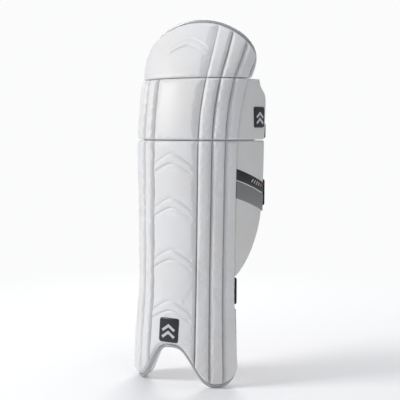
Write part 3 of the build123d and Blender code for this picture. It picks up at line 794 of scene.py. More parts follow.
def ribbon(name, path, width, bottom, top, mat, place):
    """Raised ribbon along a flat path, mitred at its corners."""
    path = np.array(path, float)
    runs = np.diff(path, axis=0)
    runs /= np.linalg.norm(runs, axis=1)[:, None]
    before, after = np.vstack([runs[:1], runs]), np.vstack([runs, runs[-1:]])
    along_path = before + after
    along_path /= np.linalg.norm(along_path, axis=1)[:, None]
    mitre = np.maximum(np.abs((along_path * before).sum(1)), 0.3)[:, None]
    normal = np.stack([-along_path[:, 1], along_path[:, 0]], -1) / mitre
    across = np.array([-1.0, -0.82, 0.82, 1.0]) * width / 2
    u = (path[:, :1] + normal[:, :1] * across).ravel()
    v = (path[:, 1:] + normal[:, 1:] * across).ravel()
    n = len(path)
    points = place(u, v, np.tile([bottom, top, top, bottom], n))
    faces = grid_faces(np.arange(n * 4).reshape(n, 4)).tolist()
    faces.append([0, 1, 2, 3])
    faces.append([(n - 1) * 4 + k for k in (3, 2, 1, 0)])
    for i in range(n - 1):
        faces.append([i * 4, (i + 1) * 4, (i + 1) * 4 + 3, i * 4 + 3])
    obj = build(name, points, faces, mat, np.stack([u, v], -1), smooth_faces=False)
    fix_normals(obj)
    return obj


def join(name, objects, body):
    joined = objects[0]
    with bpy.context.temp_override(active_object=joined, selected_editable_objects=objects,
                                   object=joined):
        bpy.ops.object.join()
    joined.name = name
    joined.data.name = name
    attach(joined, body)


def chevron_pair(name, place, scale, body, bottom, top):
    """Two raised chevrons, one above the other."""
    parts = []
    for i, level in enumerate((-6.5 * scale, 5.5 * scale)):
        path = [(-12 * scale, level - 6 * scale), (0, level + 3 * scale),
                (12 * scale, level - 6 * scale)]
        parts.append(ribbon(f"{name}_{i}", path, 5.2 * scale, bottom, top, MARK, place))
    join(name, parts, body)


# ------------------------------------------------------------------ cloth
CLOTHS = []
CLOTH_FRAMES = 14


def cloth(obj, free, pressure, grow, cap, stiff=12.0, bend=0.6, outer_face=False):
    """Marks the free part of one face of a slab, by default the inner face, to swell and
    crease as cloth under pressure, held elsewhere. cap limits its movement in mm."""
    fixed = np.zeros(free.size, bool)
    faces = (free.ravel(), fixed) if outer_face else (fixed, free.ravel())
    group = obj.vertex_groups.new(name="seams")
    group.add(np.nonzero(~np.concatenate(faces))[0].tolist(), 1.0, "REPLACE")
    modifier = obj.modifiers.new("cloth", "CLOTH")
    settings = modifier.settings
    settings.quality = 3
    settings.mass = 0.25
    settings.tension_stiffness = stiff
    settings.compression_stiffness = stiff
    settings.shear_stiffness = stiff * 0.4
    settings.bending_stiffness = bend
    settings.vertex_group_mass = "seams"
    settings.pin_stiffness = 1.0
    settings.use_pressure = True
    settings.uniform_pressure_force = pressure
    settings.shrink_min = -grow
    settings.effector_weights.gravity = 0.0
    modifier.collision_settings.use_collision = False
    modifier.point_cache.frame_start = 1
    modifier.point_cache.frame_end = CLOTH_FRAMES
    CLOTHS.append((obj, modifier, group, cap))


def roll_cloth(obj, edge, cap=0.6):
    """Swelling and creasing of a stuffed leather panel between its seams."""
    cloth(obj, edge > 2.2, pressure=4.0, grow=0.007, cap=cap, stiff=10.0, bend=0.5,
          outer_face=True)


def subdivide(obj):
    modifier = obj.modifiers.new("smooth", "SUBSURF")
    modifier.levels = 1
    modifier.render_levels = 1


def run_cloth():
    """Steps every marked cover together and keeps the capped movement in the mesh."""
    if not CLOTHS:
        return
    scene = bpy.context.scene
    subdivisions = [m for obj, *_ in CLOTHS for m in obj.modifiers if m.type == "SUBSURF"]
    for modifier in subdivisions:
        modifier.show_viewport = False
    for number in range(1, CLOTH_FRAMES + 1):
        scene.frame_set(number)
    depsgraph = bpy.context.evaluated_depsgraph_get()
    settled = []
    for obj, _, _, cap in CLOTHS:
        count = len(obj.data.vertices) * 3
        rest, now = np.empty(count, np.float32), np.empty(count, np.float32)
        obj.data.vertices.foreach_get("co", rest)
        evaluated = obj.evaluated_get(depsgraph)
        evaluated.to_mesh().vertices.foreach_get("co", now)
        evaluated.to_mesh_clear()
        moved = np.nan_to_num(now - rest).reshape(-1, 3)
        length = np.linalg.norm(moved, axis=1)
        scale = np.minimum(1.0, cap / 1000.0 / np.maximum(length, 1e-9))
        settled.append(rest.reshape(-1, 3) + moved * scale[:, None])
    for (obj, modifier, group, _), points in zip(CLOTHS, settled):
        obj.modifiers.remove(modifier)
        obj.vertex_groups.remove(group)
        obj.data.vertices.foreach_set("co", points.astype(np.float32).ravel())
        obj.data.update()
    for modifier in subdivisions:
        modifier.show_viewport = True
    scene.frame_set(1)


# ------------------------------------------------------------------ shin section
SHIN_CHEVRONS = pressed_chevrons(
    tips=(441.0, 357.0, 259.0, 162.0), centre_x=-2.0, drop=24.0, drop_width=38.0, curve=1.12,
    gap=19.0, lower_drop=0.86, depth=2.3, width=2.2, swell=1.5, ramp=3.5, half_width=43.0,
    soft_fade=True)


def foot_height(angle):
    return along(FOOT_ARCH, np.abs(angle))


def shin_front():
    angles = np.linspace(-24.4, 24.4, 85)
    grid = uprights(angles, foot_height(angles) + 3.2, SHIN_TOP, two_speed(0.06, 12, 236))
    outer = skin(valley=3.2, crown=5.0, reach=11.5, power=2.5, seed=1, relief=SHIN_CHEVRONS,
                 pucker=0.5, wave=0.6, foot_end=0.0)
    obj, edge = slab("shin_front_panel", grid, outer, -13, WHITE, "shin", "shin_panel",
                     "white_leather")
    # the pressed grooves stay held down
    grooves = np.abs(SHIN_CHEVRONS(surface(grid[1], grid[0], 0.0))) > 0.25
    roll_cloth(obj, np.where(grooves, 0.0, edge))


def shin_channel(number, side, tag):
    """One upright roll; the third is wider at the foot, below the wing."""
    low = SEAMS[number - 1, 0] + SEAM_GAP
    high = SEAMS[number, 0] - SEAM_GAP
    foot_high = 70.4 if number == 3 else high
    base = low + (foot_high - low) * seam_spacing(27)
    angles, heights = uprights(base, foot_height(base) + 3.2, SHIN_TOP,
                               two_speed(0.05, 10, 170))
    narrowing = np.clip((heights - 70.0) / 90.0, 0, 1) * (foot_high - high) / (foot_high - low)
    angles = low + (angles - low) * (1 - narrowing)
    outer = skin(valley=3.0, crown=5.4, reach=7.5, power=2.7, seed=10 * number + side,
                 foot_end=0.0)
    obj, edge = slab(f"shin_channel_{tag}_{number}", (side * angles, heights), outer, -12.8,
                     WHITE, "shin", f"shin_roll_{tag}_{number}", "white_leather")
    roll_cloth(obj, edge)


def foot_hem():
    """Silver binding round the foot and the stitched line above it."""
    rows = np.arange(len(FOOT))
    at = np.linspace(0, len(FOOT) - 1, 260)
    angle, z = hermite(at, rows, FOOT[:, 0]), hermite(at, rows, FOOT[:, 1])
    half = surface(z, angle, -5.0)
    hem = np.concatenate([half[::-1] * MIRROR, half[1:]])
    hem[:, 2] = np.maximum(hem[:, 2], 2.95)
    tube("foot_binding", hem, 3.15, SILVER, "shin", "foot_piping",
         sides=16, seed=3)

    offset = 7.0
    mm_per_degree = 1.75
    rise, run = np.gradient(z), np.gradient(angle) * mm_per_degree
    length = np.hypot(rise, run)
    row_angle = angle - (rise / length) * offset / mm_per_degree
    row_z = z + (run / length) * offset
    keep = (row_angle > -0.1) & (row_z < 141)
    for side, _ in SIDES:
        stitches("foot_hem_stitching", surface(row_z[keep], side * row_angle[keep], 0.6),
                 THREAD_WHITE, "shin", seed=3 + side, lift=0.1)


def ear_lining():
    """Lining of the foot, with an upright ridge towards each side."""
    def inner(panel):
        out = -18.4 - 2.8 * puff(panel.edge, 6.0)
        for ridge_x in (37.0, -37.0):
            out = out + 1.3 * ridge(panel.points[..., 0] - ridge_x, 1.7)
        return out - 0.5 * layered_noise(panel.points, 46.0, 44)

    angles = np.linspace(-69.5, 69.5, 141)
    grid = uprights(angles, foot_height(angles) + 3.6, 150.0, np.linspace(0, 1, 46))
    slab("ear_lining", grid, -12.9, inner, LINING_WHITE, "shin", "instep_lining",
         "white_leather")


def calf_bolster(side, tag):
    """Dotted mesh pad on the leg side of the shin, with a cord along its front edge."""
    bottom, top = 122.0, 455.0
    z = eased(bottom, top, 150, 0.25)
    start = 16.0 + np.interp(z, [bottom, 165.0], [6.0, 0.0])
    end = np.interp(z, [bottom, 250.0, top], [52.0, 65.5, 66.0])
    seed = 3 if side > 0 else 8

    def inner(panel):
        edge = panel.edge
        return (-21.5 - 12.8 * puff(edge, 17.0, 2.6) + 0.9 * ridge(edge - 5.5, 1.3)
                - 0.7 * puff(edge, 20.0) * layered_noise(panel.points, 60.0, seed, 2))

    obj, edge = slab(f"calf_bolster_mesh_{tag}", between(start, end, eased(0, 1, 56, 0.5), z, side),
                     -18.7, inner, DOTS, "shin", f"calf_bolster_{tag}", "dotted_mesh")
    cloth(obj, edge > 7.0, pressure=2.0, grow=0.012, cap=1.6)
    tube(f"bolster_binding_{tag}", surface(z, side * (start + 1.5), -25.4), 2.1, BLACK_CLOTH,
         "shin", sides=10, seed=5)


def centre_strip():
    """Orange strip between the bolsters, wider at the bottom, with a column of chevrons."""
    angles, heights = between(-15.6, 15.6, np.linspace(0, 1, 31),
                              131.0 + 323.5 * np.linspace(0, 1, 130))
    angles = angles * (1 + 0.45 * np.clip((165.0 - heights) / 40.0, 0, 1))
    slab("orange_centre_strip", (angles, heights), -18.7,
         lambda panel: (-20.5 - 3.6 * puff(panel.edge, 12.0)
                        - 0.4 * layered_noise(panel.points, 40.0, 71, 2)),
         STRIP, "shin", "centre_strip", "orange_mesh")

    marks = []
    for i, z in enumerate(np.arange(212.0, 332.0, 17.0)):
        path = [(-9.5, z - 6), (-4.75, z - 2), (0, z + 2), (4.75, z - 2), (9.5, z - 6)]
        marks.append(ribbon(f"strip_mark_{i}", path, 3.6, -0.2, 0.75, BLACK_FILM,
                            lambda u, v, h: on_sheet(u, v, -24.0, -0.1 - h)))
    join("centre_strip_marks", marks, "shin")


# ------------------------------------------------------------------ knee section and wings
def knee_rolls():
    z = eased(KNEE_BOTTOM, KNEE_TOP, 72, 0.35)
    first = seam(1, z) - SEAM_GAP
    obj, edge = slab("knee_front_panel", between(-first, first, seam_spacing(61), z),
                     skin(valley=3.2, crown=5.0, reach=11.5, power=2.5, seed=61),
                     -13, WHITE, "knee", "knee_panel", "white_leather")
    roll_cloth(obj, edge, cap=0.8)
    for k in (1, 2, 3):
        for side, tag in SIDES:
            grid = between(seam(k, z) + SEAM_GAP, seam(k + 1, z) - SEAM_GAP, seam_spacing(27),
                           z, side)
            outer = skin(valley=3.0, crown=5.6, reach=7.5, power=2.7, seed=70 + 10 * k + side)
            obj, edge = slab(f"knee_channel_{tag}_{k}", grid, outer, -12.8, WHITE, "knee",
                             f"knee_roll_{tag}_{k}", "white_leather")
            roll_cloth(obj, edge)


def side_wing(name, rear_edge, z, columns, body, node, side, seed, stitch_name, stitch_from,
              stitch_seed):
    """White wing from the last seam to its rear edge, with a stitched line inside that edge."""
    start = seam(4, z) + 0.15
    end = angle_at_y(z, along(rear_edge, z), -5.0)
    end = np.maximum(end, start + 0.6)

    def outer(panel):
        border = np.minimum(panel.sides, panel.ends)
        edge = panel.edge
        return (-2.6 * (1 - puff(border, 3.2, 2.0)) - 0.55 * ridge(border - 6.5, 0.9)
                + 0.9 * puff(edge, 26.0)
                + 0.9 * puff(edge, 14.0) * layered_noise(panel.points, 85.0, seed))

    def inner(panel):
        border = np.minimum(panel.sides, panel.ends)
        return (-10.0 + 2.6 * (1 - puff(border, 3.2, 2.0))
                + 0.4 * layered_noise(panel.points, 60.0, seed + 3, 2) * puff(panel.edge, 10.0))

    # the wing takes the shaded copy of the white leather: its warm grey is painted shade
    slab(name, between(start, end, eased(0, 1, columns, 0.45), z, side), outer, inner,
         SHADED_WHITE_WING, body, node, "white_leather")
    part = slice(stitch_from, -3)
    row = np.maximum(end[part] - 5.6, start[part] + 2)
    stitches(stitch_name, surface(z[part], side * row, 0.55), THREAD_WHITE, body,
             seed=stitch_seed, radius=0.38)


def side_wings():
    for side, tag in SIDES:
        side_wing(f"knee_side_wing_{tag}", KNEE_EDGE, eased(KNEE_BOTTOM, KNEE_TOP, 60, 0.3), 46,
                  "knee", f"knee_wing_{tag}", side, seed=90 + side,
                  stitch_name="knee_wing_stitching", stitch_from=4, stitch_seed=11 + side)
        side_wing(f"calf_side_wing_{tag}", CALF_EDGE, eased(207.0, SHIN_TOP + 0.1, 130, 0.3), 52,
                  f"{tag}_wing", f"calf_wing_{tag}", side, seed=95 + side,
                  stitch_name=f"calf_wing_stitching_{tag}", stitch_from=14,
                  stitch_seed=13 + side)


def knee_cushion():
    """Black cushion across the leg side of the knee, held flat under its diamond panel."""
    half_angle = 110.0
    s = np.linspace(-1, 1, 150)
    base = np.sign(s) * np.abs(s) ** 0.92 * half_angle
    rise = eased(0, 1, 70, 0.45)
    near_end = np.clip((np.abs(base) - 84.0) / 26.0, 0, 1)
    x = surface(500.0, base, -30.0)[:, 0]
    top = 573.0 - 20.0 * (x / 120.0) ** 2 - 14.0 * near_end**3
    bottom = 457.0 + 10.5 * np.clip((np.abs(base) - 72.0) / 4.0, 0, 1)
    angles, heights = uprights(base, bottom, top, rise)
    angles = angles * (1 - 0.012 * ((rise - 0.5) * 2) ** 6 * near_end[:, None])
    # the base steps outwards on to the thinner wings
    under = -18.9 + 8.0 * smooth(np.clip((np.abs(angles) - 67.0) / 14.0, 0, 1))

    def inner(panel):
        edge, points = panel.edge, panel.points
        thickness = 16.0 * puff(edge, 22.0, 2.6) + 0.2
        crease = ridge(np.abs(points[..., 0]) - 93.0, 4.0) * 1.3 * (points[..., 1] > 0)
        return (under - thickness + crease
                - 0.5 * puff(edge, 20.0) * layered_noise(points, 42.0, 131))

    obj, edge = slab("knee_cushion_cover", (angles, heights), under - 0.3, inner, BLACK_CLOTH,
                     "knee", "knee_cushion", "black_fabric")
    face = surface(heights, angles, -30.0)
    sewn_down = np.abs(face[..., 0]) < 60.0 - 0.6 * np.abs(face[..., 2] - 514.0)
    cloth(obj, (edge > 2.0) & ~sewn_down, pressure=3.0, grow=0.02, cap=2.2)
    subdivide(obj)


def knee_diamond():
    """Six-sided orange mesh panel on the cushion, bound in black."""
    def place(u, v, h):
        return on_sheet(u, v + 514.0, -35.3, -h)

    outline = polygon([(-21, 55.5), (21, 55.5), (54, 0), (17, -55.5), (-17, -55.5), (-54, 0)],
                      step=2.0)
    patch("knee_mesh_diamond", outline, [0.0001, 0.2, 0.4, 0.6, 0.8, 0.92, 0.98, 1.0],
          rounded_edge(top=2.1, drop=1.9, start=0, power=6), RED_MESH, "knee", place,
          "knee_mesh_panel", back=-1.5)
    u, v = closed(outline)
    tube("knee_mesh_binding", place(u * 0.995, v, 0.9), 1.35, BLACK_CLOTH, "knee",
         sides=8, seed=9, capped=False)


def knee_emblem():
    """White hexagon with a black rim line and two black chevrons."""
    def place(u, v, h):
        return on_sheet(u, v + 540.0, -36.6, -h)

    patch("knee_emblem_plate", polygon(hexagon(21.5), step=1.5),
          [0.0001, 0.3, 0.6, 0.86, 0.9, 0.96, 1.0], rounded_edge(top=2.3, drop=1.1, start=0.9),
          EMBLEM, "knee", place, "knee_emblem", back=-1.2)
    lines = (("emblem_rim", hexagon(19.2, count=7), 1.5, 2.9),
             ("emblem_a", [(-9, -3), (0, 6), (9, -3)], 3.4, 3.0),
             ("emblem_b", [(-9, -10), (0, -1), (9, -10)], 3.4, 3.0))
    parts = [ribbon(name, path, width, 1.9, top, BLACK_EDGE, place)
             for name, path, width, top in lines]
    join("knee_emblem_relief", parts, "knee")


# ------------------------------------------------------------------ badges and wing bands
def badge(name, outline, place, body, back, scale, relief_top):
    rings = [0.0001, 0.25, 0.5, 0.75, 0.88, 0.93, 0.96, 0.985, 1.0]
    patch(f"{name}_plate", outline, rings, rounded_edge(top=1.9, drop=1.6, start=0.93, power=2),
          BLACK_GLOSS, body, place, name, back)
    chevron_pair(f"{name}_relief", place, scale, body, bottom=1.6, top=relief_top)


def badges():
    def on_shin(u, v, h):
        return on_sheet(u - 2.0, v + 107.0, 4.9, h)

    badge("shin_badge", rounded(42, 46, 5), on_shin, "shin", back=-3.0, scale=1.05,
          relief_top=2.7)
    u, v = closed(rounded(38.4, 42.4, 4))
    stitches("shin_badge_stitching", on_shin(u, v, 1.75), THREAD_DARK, "shin", seed=21,
             pitch=3.2, length=2.1, radius=0.33)
    badge("wing_badge", rounded(36, 40, 4),
          lambda u, v, h: on_outer_wing(u + 27.0, v + 509.5, h), "knee", back=-2.6, scale=0.92,
          relief_top=2.6)


def wing_bands():
    """Black and grey bands sloping down to the rear of the outer wing, and five dashes."""
    def fall(y):
        return 30 * (y + 36) / 86.5

    def outer(panel):
        edge = panel.edge
        return (0.9 * puff(edge, 26.0) + 1.1 + 0.5 * puff(edge, 1.6)
                + 0.81 * layered_noise(panel.points, 85.0, 96))

    y = np.linspace(-33.0, 50.0, 44)
    for color, high, low, mat in (("black", 413.0, 392.7, BLACK_FILM),
                                  ("grey", 390.4, 358.0, GREY_FILM)):
        targets, heights = uprights(y, low - fall(y), high - fall(y), np.linspace(0, 1, 16))
        angles = angle_at_y(heights, targets, 0.0, low=55.0)
        slab(f"wing_band_{color}", (angles, heights), outer, -2.0, mat, "outer_wing",
             f"wing_stripe_{color}", f"{color}_mark")

    dashes = []
    for i in range(5):
        y = 4.0 + i * 7.5
        z = 402.8 - fall(y)
        dashes.append(ribbon(f"dash{i}", [(y - 2.4, z - 2.4), (y + 2.4, z + 2.4)], 2.0, 1.6, 3.0,
                             MARK if i < 4 else ORANGE,
                             lambda u, v, h: on_outer_wing(u, v, h, sheet=0.9)))
    join("wing_band_marks", dashes, "outer_wing")


# ------------------------------------------------------------------ thigh dome
DOME_TOP = DOME[-1, 0]
RIM_Z = np.concatenate([np.linspace(579, 690, 160)[:-1], np.linspace(690, DOME_TOP, 60)])
RIM_ANGLE = along(DOME, RIM_Z)
RIM_ANGLE[-1] = 0.0
DOME_CHEVRON = pressed_chevrons(
    tips=(659.0,), centre_x=-1.0, drop=20.0, drop_width=36.0, curve=1.1, gap=13.0,
    lower_drop=0.9, depth=2.2, width=2.1, swell=1.4, ramp=3, half_width=42.0, soft_fade=False)


def inset_rim(inset):
    """Dome edge moved inwards, as (angle, height) from the side to the crown."""
    half_x, half_y = along(SHAPE, RIM_Z, 1), along(SHAPE, RIM_Z, 2)
    turn = np.radians(RIM_ANGLE)
    mm_per_degree = np.hypot(half_x * np.cos(turn), half_y * np.sin(turn)) * np.pi / 180
    across, up = np.gradient(RIM_ANGLE) * mm_per_degree, np.gradient(RIM_Z)
    length = np.hypot(across, up)
    z = RIM_Z + across / length * inset
    angle = RIM_ANGLE - up / length * inset / mm_per_degree
    keep = z > 583.2
    z, angle = z[keep], np.maximum(angle[keep], 0.0)
    z[-1], angle[-1] = DOME_TOP - inset, 0.0
    order = np.argsort(-angle)
    return angle[order], z[order]


def dome_angle(foot_angle, z):
    """Angle at height z of a line that starts at foot_angle: on the outer side it leans with
    the seams, on the inner side it keeps its angle."""
    t = np.clip((z - SEAM_HEIGHTS[1]) / (SEAM_HEIGHTS[2] - SEAM_HEIGHTS[1]), 0, 1)
    at_foot, at_top = (np.concatenate([[0.0], SEAMS[:, k], [90.0]]) for k in (1, 2))
    leaning = foot_angle * (1 - t) + np.interp(foot_angle, at_foot, at_top) * t
    return np.where(foot_angle < 0, foot_angle, leaning)


def dome_panel(name, start, end, columns, rows, outer, inner, mat, node, inset=3.0,
               bottom=583.6, slot="white_leather"):
    """Panel between two foot angles, cut off along the dome's inset edge."""
    rim_angle, rim_z = inset_rim(inset)
    foot_angles = start + (end - start) * seam_spacing(columns, 0.3)
    z = np.linspace(bottom, DOME_TOP - inset, 900)
    limit = np.interp(z, rim_z, rim_angle)
    lowest_top = bottom + 0.4
    top = np.full(columns, lowest_top)
    for i, foot_angle in enumerate(foot_angles):
        inside = np.nonzero(np.abs(dome_angle(foot_angle, z)) <= limit + 1e-9)[0]
        if len(inside):
            top[i] = max(z[inside[-1]], lowest_top)
    angles, heights = uprights(foot_angles, np.full(columns, bottom), top,
                               eased(0, 1, rows, 0.35))
    return slab(name, (dome_angle(angles, heights), heights), outer, inner, mat, "top_hat",
                node, slot)


def dome_cover():
    foot = SEAMS[:, 1]
    outer = skin(valley=4.0, crown=4.0, reach=15.0, power=2.3, seed=201, relief=DOME_CHEVRON,
                 pucker=0.5, wave=0.7, foot_end=0.55, top_end=0.0)
    obj, edge = dome_panel("dome_front_panel", -78.0, foot[0] - SEAM_GAP, 130, 74, outer, -12,
                           WHITE, "top_panel")
    roll_cloth(obj, edge, cap=0.7)
    # name, node, end angle, columns, crown height, reach of the stuffing
    rolls = [(f"dome_channel_{k}", f"top_roll_{k}", foot[k] - SEAM_GAP, 27, 5.2, 8.5)
             for k in (1, 2, 3)]
    rolls.append(("dome_side_strip", "top_side_panel", 78.2, 17, 2.0, 6.0))
    for k, (name, node, end, columns, crown, reach) in enumerate(rolls):
        outer = skin(valley=3.0, crown=crown, reach=reach, power=2.6, seed=211 + k,
                     foot_end=0.55, top_end=0.0)
        dome_panel(name, foot[k] + SEAM_GAP, end, columns, 74, outer, -12, WHITE, node)


def dome_hem():
    """Silver binding round the dome's edge and the stitched line inside it."""
    above = RIM_Z >= 585.5
    half = surface(RIM_Z[above], RIM_ANGLE[above], -6.0)
    rim = np.concatenate([half * MIRROR, half[::-1][1:]])
    tube("dome_binding", resample(rim, 1.6), 3.15, SILVER, "top_hat", "top_piping",
         sides=16, seed=4)
    angle, z = inset_rim(8.5)
    row = surface(z, angle, 0.4)[2:]
    for side, _ in SIDES:
        stitches("dome_hem_stitching", row * [side, 1, 1], THREAD_WHITE, "top_hat",
                 seed=31 + side, lift=0.1)


def lining_noise(panel):
    return 0.7 * layered_noise(panel.points, 55.0, 301)


def dome_band(color, high, low, mat, slot):
    """Chevron band across the dome's lining, cut off at its edge."""
    rim_angle, rim_z = inset_rim(7.5)
    angles = np.linspace(-76.5, 76.5, 141)
    drop = 64.0 * np.abs(surface(640.0, angles, -20.0)[:, 0]) / 125.0
    limit = np.interp(np.abs(angles), rim_angle[::-1], rim_z[::-1])
    top = np.minimum(high - drop, limit)
    bottom = np.maximum(low - drop, 584.6)
    keep = top - bottom > 0.5
    slab(f"dome_band_{color}",
         uprights(angles[keep], bottom[keep], top[keep], np.linspace(0, 1, 14)), -19.0,
         lambda panel: -21.0 - 0.7 * puff(panel.edge, 1.5) - lining_noise(panel),
         mat, "top_hat", f"top_chevron_{color}", slot)


def dome_lining():
    def inner(panel):
        edge = panel.edge
        return -17.4 - 3.4 * puff(edge, 7.0) - puff(edge, 10.0) * lining_noise(panel)

    dome_panel("dome_satin_lining", -78.0, 78.0, 151, 64, -12.8, inner, ORANGE, "top_lining",
               inset=4.0, bottom=584.0, slot="orange_satin")
    dome_band("black", 661.0, 637.6, BAND_BLACK, "black_fabric")
    dome_band("grey", 637.0, 602.0, BAND_GREY, "grey_band")


# ------------------------------------------------------------------ inside of the calf wings
def wing_inside(side, tag):
    """Orange bolster along the wing's rear edge and the black lining pad in front of it."""
    z = eased(214.0, 454.0, 110, 0.3)
    rear_y = along(CALF_EDGE, z)
    width = np.interp(z, [214.0, 250.0, 300.0, 454.0], [9.0, 13.0, 17.0, 21.0])
    rear = angle_at_y(z, rear_y - 0.8, -18.0)
    front = angle_at_y(z, rear_y - width, -18.0)

    def bolster(panel):
        edge, points = panel.edge, panel.points
        return (-12.0 - 14.5 * puff(edge, 12.0)
                - 0.6 * layered_noise(points, 30.0, 400 + side)
                - 0.35 * ridge(edge - 5, 4) * noise(points, 7.0, 405))

    def lining(panel):
        return (-11.5 - 9.5 * puff(panel.edge, 14.0)
                - 0.6 * layered_noise(panel.points, 50.0, 420 + side))

    obj, edge = slab(f"edge_bolster_{tag}", between(front, rear, eased(0, 1, 30, 0.5), z, side),
                     -9.8, bolster, ORANGE_DEEP, f"{tag}_wing", f"wing_edge_roll_{tag}",
                     "orange_satin")
    cloth(obj, edge > 1.5, pressure=3.0, grow=0.03, cap=1.8)
    subdivide(obj)
    lining_rear = front - 0.4
    lining_front = np.minimum(70.0, lining_rear - 0.5)
    slab(f"wing_lining_pad_{tag}",
         between(lining_front, lining_rear, eased(0, 1, 34, 0.4), z, side), -9.9, lining,
         BLACK_CLOTH, f"{tag}_wing", f"wing_lining_{tag}", "black_fabric")


# ------------------------------------------------------------------ straps
def facing_back(x, y, z, bend=0.0):
    """Placement on an upright plane facing +y, its sides bent towards -y."""
    return lambda u, v, h: np.stack(
        [x + u, LEG_Y + y + h - bend * np.maximum(np.abs(u) - 18, 0) ** 2, z + v], -1)


def strap_webbing(strap, end_x):
    xs = np.linspace(-strap.half_length + 22.2, end_x, 120)
    across = np.concatenate([[0, 0.012, 0.03, 0.06], np.linspace(0.1, 0.9, 17),
                             [0.94, 0.97, 0.988, 1.0]])
    bottom = strap.z - strap.width / 2
    x, z = np.meshgrid(xs, bottom + strap.width * across, indexing="ij")
    rounding = np.sqrt(np.clip(1 - (np.abs(across - 0.5) * 2) ** 14, 0.05, 1))
    half_thickness = WEB_HALF_THICKNESS * rounding
    ripple = 0.5 * layered_noise(np.stack([x, np.zeros_like(x), z], -1), 45.0,
                                 500 + int(strap.z), 2)
    ripple = ripple * np.clip((strap.half_length - np.abs(x)) / 25.0, 0, 1)
    near_middle = 1 - np.minimum(np.abs(x) / 60.0, 1.0) ** 2
    y = LEG_Y + strap.back + strap.bow * near_middle**2 + ripple
    uv = np.stack([x, z - bottom], -1).reshape(-1, 2)
    shell(f"{strap.name}_webbing", np.stack([x, y + half_thickness, z], -1),
          np.stack([x, y - half_thickness, z], -1), np.concatenate([uv, uv]),
          WEBBING[strap.name], f"{strap.name}_strap", f"{strap.name}_strap", "web_stripe")


def strap_tab(strap, start_x):
    name, body = strap.name, f"{strap.name}_strap_tab"
    place = facing_back(start_x + strap.tab / 2, strap.back - WEB_HALF_THICKNESS, strap.z,
                        bend=0.003)
    length, height = strap.tab - 1.0, strap.width + 2.0
    patch(f"{name}_hook_tab", rounded(length, height, 4.5),
          [0.0001, 0.3, 0.6, 0.8, 0.9, 0.94, 0.97, 0.99, 1.0],
          rounded_edge(top=3.3, drop=1.3, start=0.94, power=2), TAB, body, place, body,
          back=0.05)
    chevron_pair(f"{name}_tab_relief", place, strap.width / 50.0, body, bottom=2.8, top=4.2)
    u, v = closed(rounded(length - 6, height - 6, 3))
    stitches(f"{name}_tab_stitching", place(u, v, np.full(len(u), 3.2)), THREAD_DARK, body,
             seed=41, normal=back_normal, pitch=3.4, length=2.3, radius=0.36, lift=0.12)


def strap_sewn_end(strap):
    """Black pad at the inner end, stitched in a box with a cross."""
    name, body = strap.name, strap.anchor_body
    place = facing_back(-strap.half_length + 10.9, strap.front, strap.z)
    depth = strap.back + WEB_HALF_THICKNESS - strap.front
    patch(f"{name}_sewn_end", rounded(21.6, strap.width, 1.8),
          [0.0001, 0.5, 0.8, 0.93, 0.98, 1.0],
          rounded_edge(top=depth + 0.1, drop=0.9, start=0.93), BLACK_CLOTH, body, place,
          f"{name}_strap_anchor", back=0.1)
    u, v = 7.8, strap.width / 2 - 3.2
    for path in ([(-u, -v), (u, -v), (u, v), (-u, v), (-u, -v), (u, v)], [(u, -v), (-u, v)]):
        path = np.array(path)
        row = place(path[:, 0], path[:, 1], np.full(len(path), depth + 0.15))
        stitches(f"{name}_sewn_end_stitching", row, THREAD_GREY, body, seed=51,
                 normal=back_normal, pitch=3.2, length=2.3)


def strap_loop_patch(strap):
    place = facing_back(strap.half_length - 9.5, strap.front, strap.z)
    depth = strap.back - WEB_HALF_THICKNESS - 0.9 - strap.front
    patch(f"{strap.name}_loop_patch_pad", rounded(20.0, strap.width - 2.0, 1.8),
          [0.0001, 0.5, 0.85, 0.95, 1.0], rounded_edge(top=depth, drop=0.3, start=0.9),
          PATCH, strap.patch_body, place, f"{strap.name}_strap_loop_patch", back=0.1)


def build_strap(strap):
    tab_x = strap.half_length - strap.tab
    # the webbing runs on a little under the tab
    strap_webbing(strap, tab_x + 1.5)
    strap_tab(strap, tab_x)
    strap_sewn_end(strap)
    strap_loop_patch(strap)


# ------------------------------------------------------------------ strips across moving seams
def seam_strip(name, start, end, columns, bottom, top, rows, outer, inner, mat, side=1):
    grid = between(start, end, np.linspace(0, 1, columns), np.linspace(bottom, top, rows), side)
    obj, _ = slab(name, grid, outer, inner, mat)
    return obj


def gussets():
    """White strips inside the joints above and below the knee."""
    # both strips take the shaded copy of the white leather: its grey is painted shade
    obj = seam_strip("knee_seam_gusset", -108.0, 108.0, 110, 456.0, 477.0, 11, -6.5, -8.5,
                     SHADED_WHITE_WING)
    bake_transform(obj)
    obj = seam_strip("top_seam_gusset", -76.5, 76.5, 90, 562.0, 590.0, 11, -13.2, -15.2,
                     SHADED_WHITE_WING)
    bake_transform(obj)


def wing_seams(side, tag):
    """White skin outside and black lining inside, where a calf wing meets the shin."""
    # name, start and end angle, bottom, top, outer and inner distance out, material
    for name, start, end, bottom, top, outer, inner, mat in (
            ("wing_seam_skin", 66.6, 69.6, 214.0, 463.5, -5.0, -7.0, SHADED_WHITE_WING),
            ("wing_seam_lining", 65.0, 72.5, 232.0, 454.0, -13.6, -15.2, BLACK_CLOTH)):
        obj = seam_strip(f"{name}_{tag}", start, end, 13, bottom, top, 80, outer, inner, mat,
                         side)
        ends = [tuple(surface(330.0, side * angle, outer) / 1000.0)
                for angle in (start + 0.8, end - 0.8)]
        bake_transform(obj)


# ------------------------------------------------------------------ floor, light, camera
BACKDROP = (0.965, 0.967, 0.972)


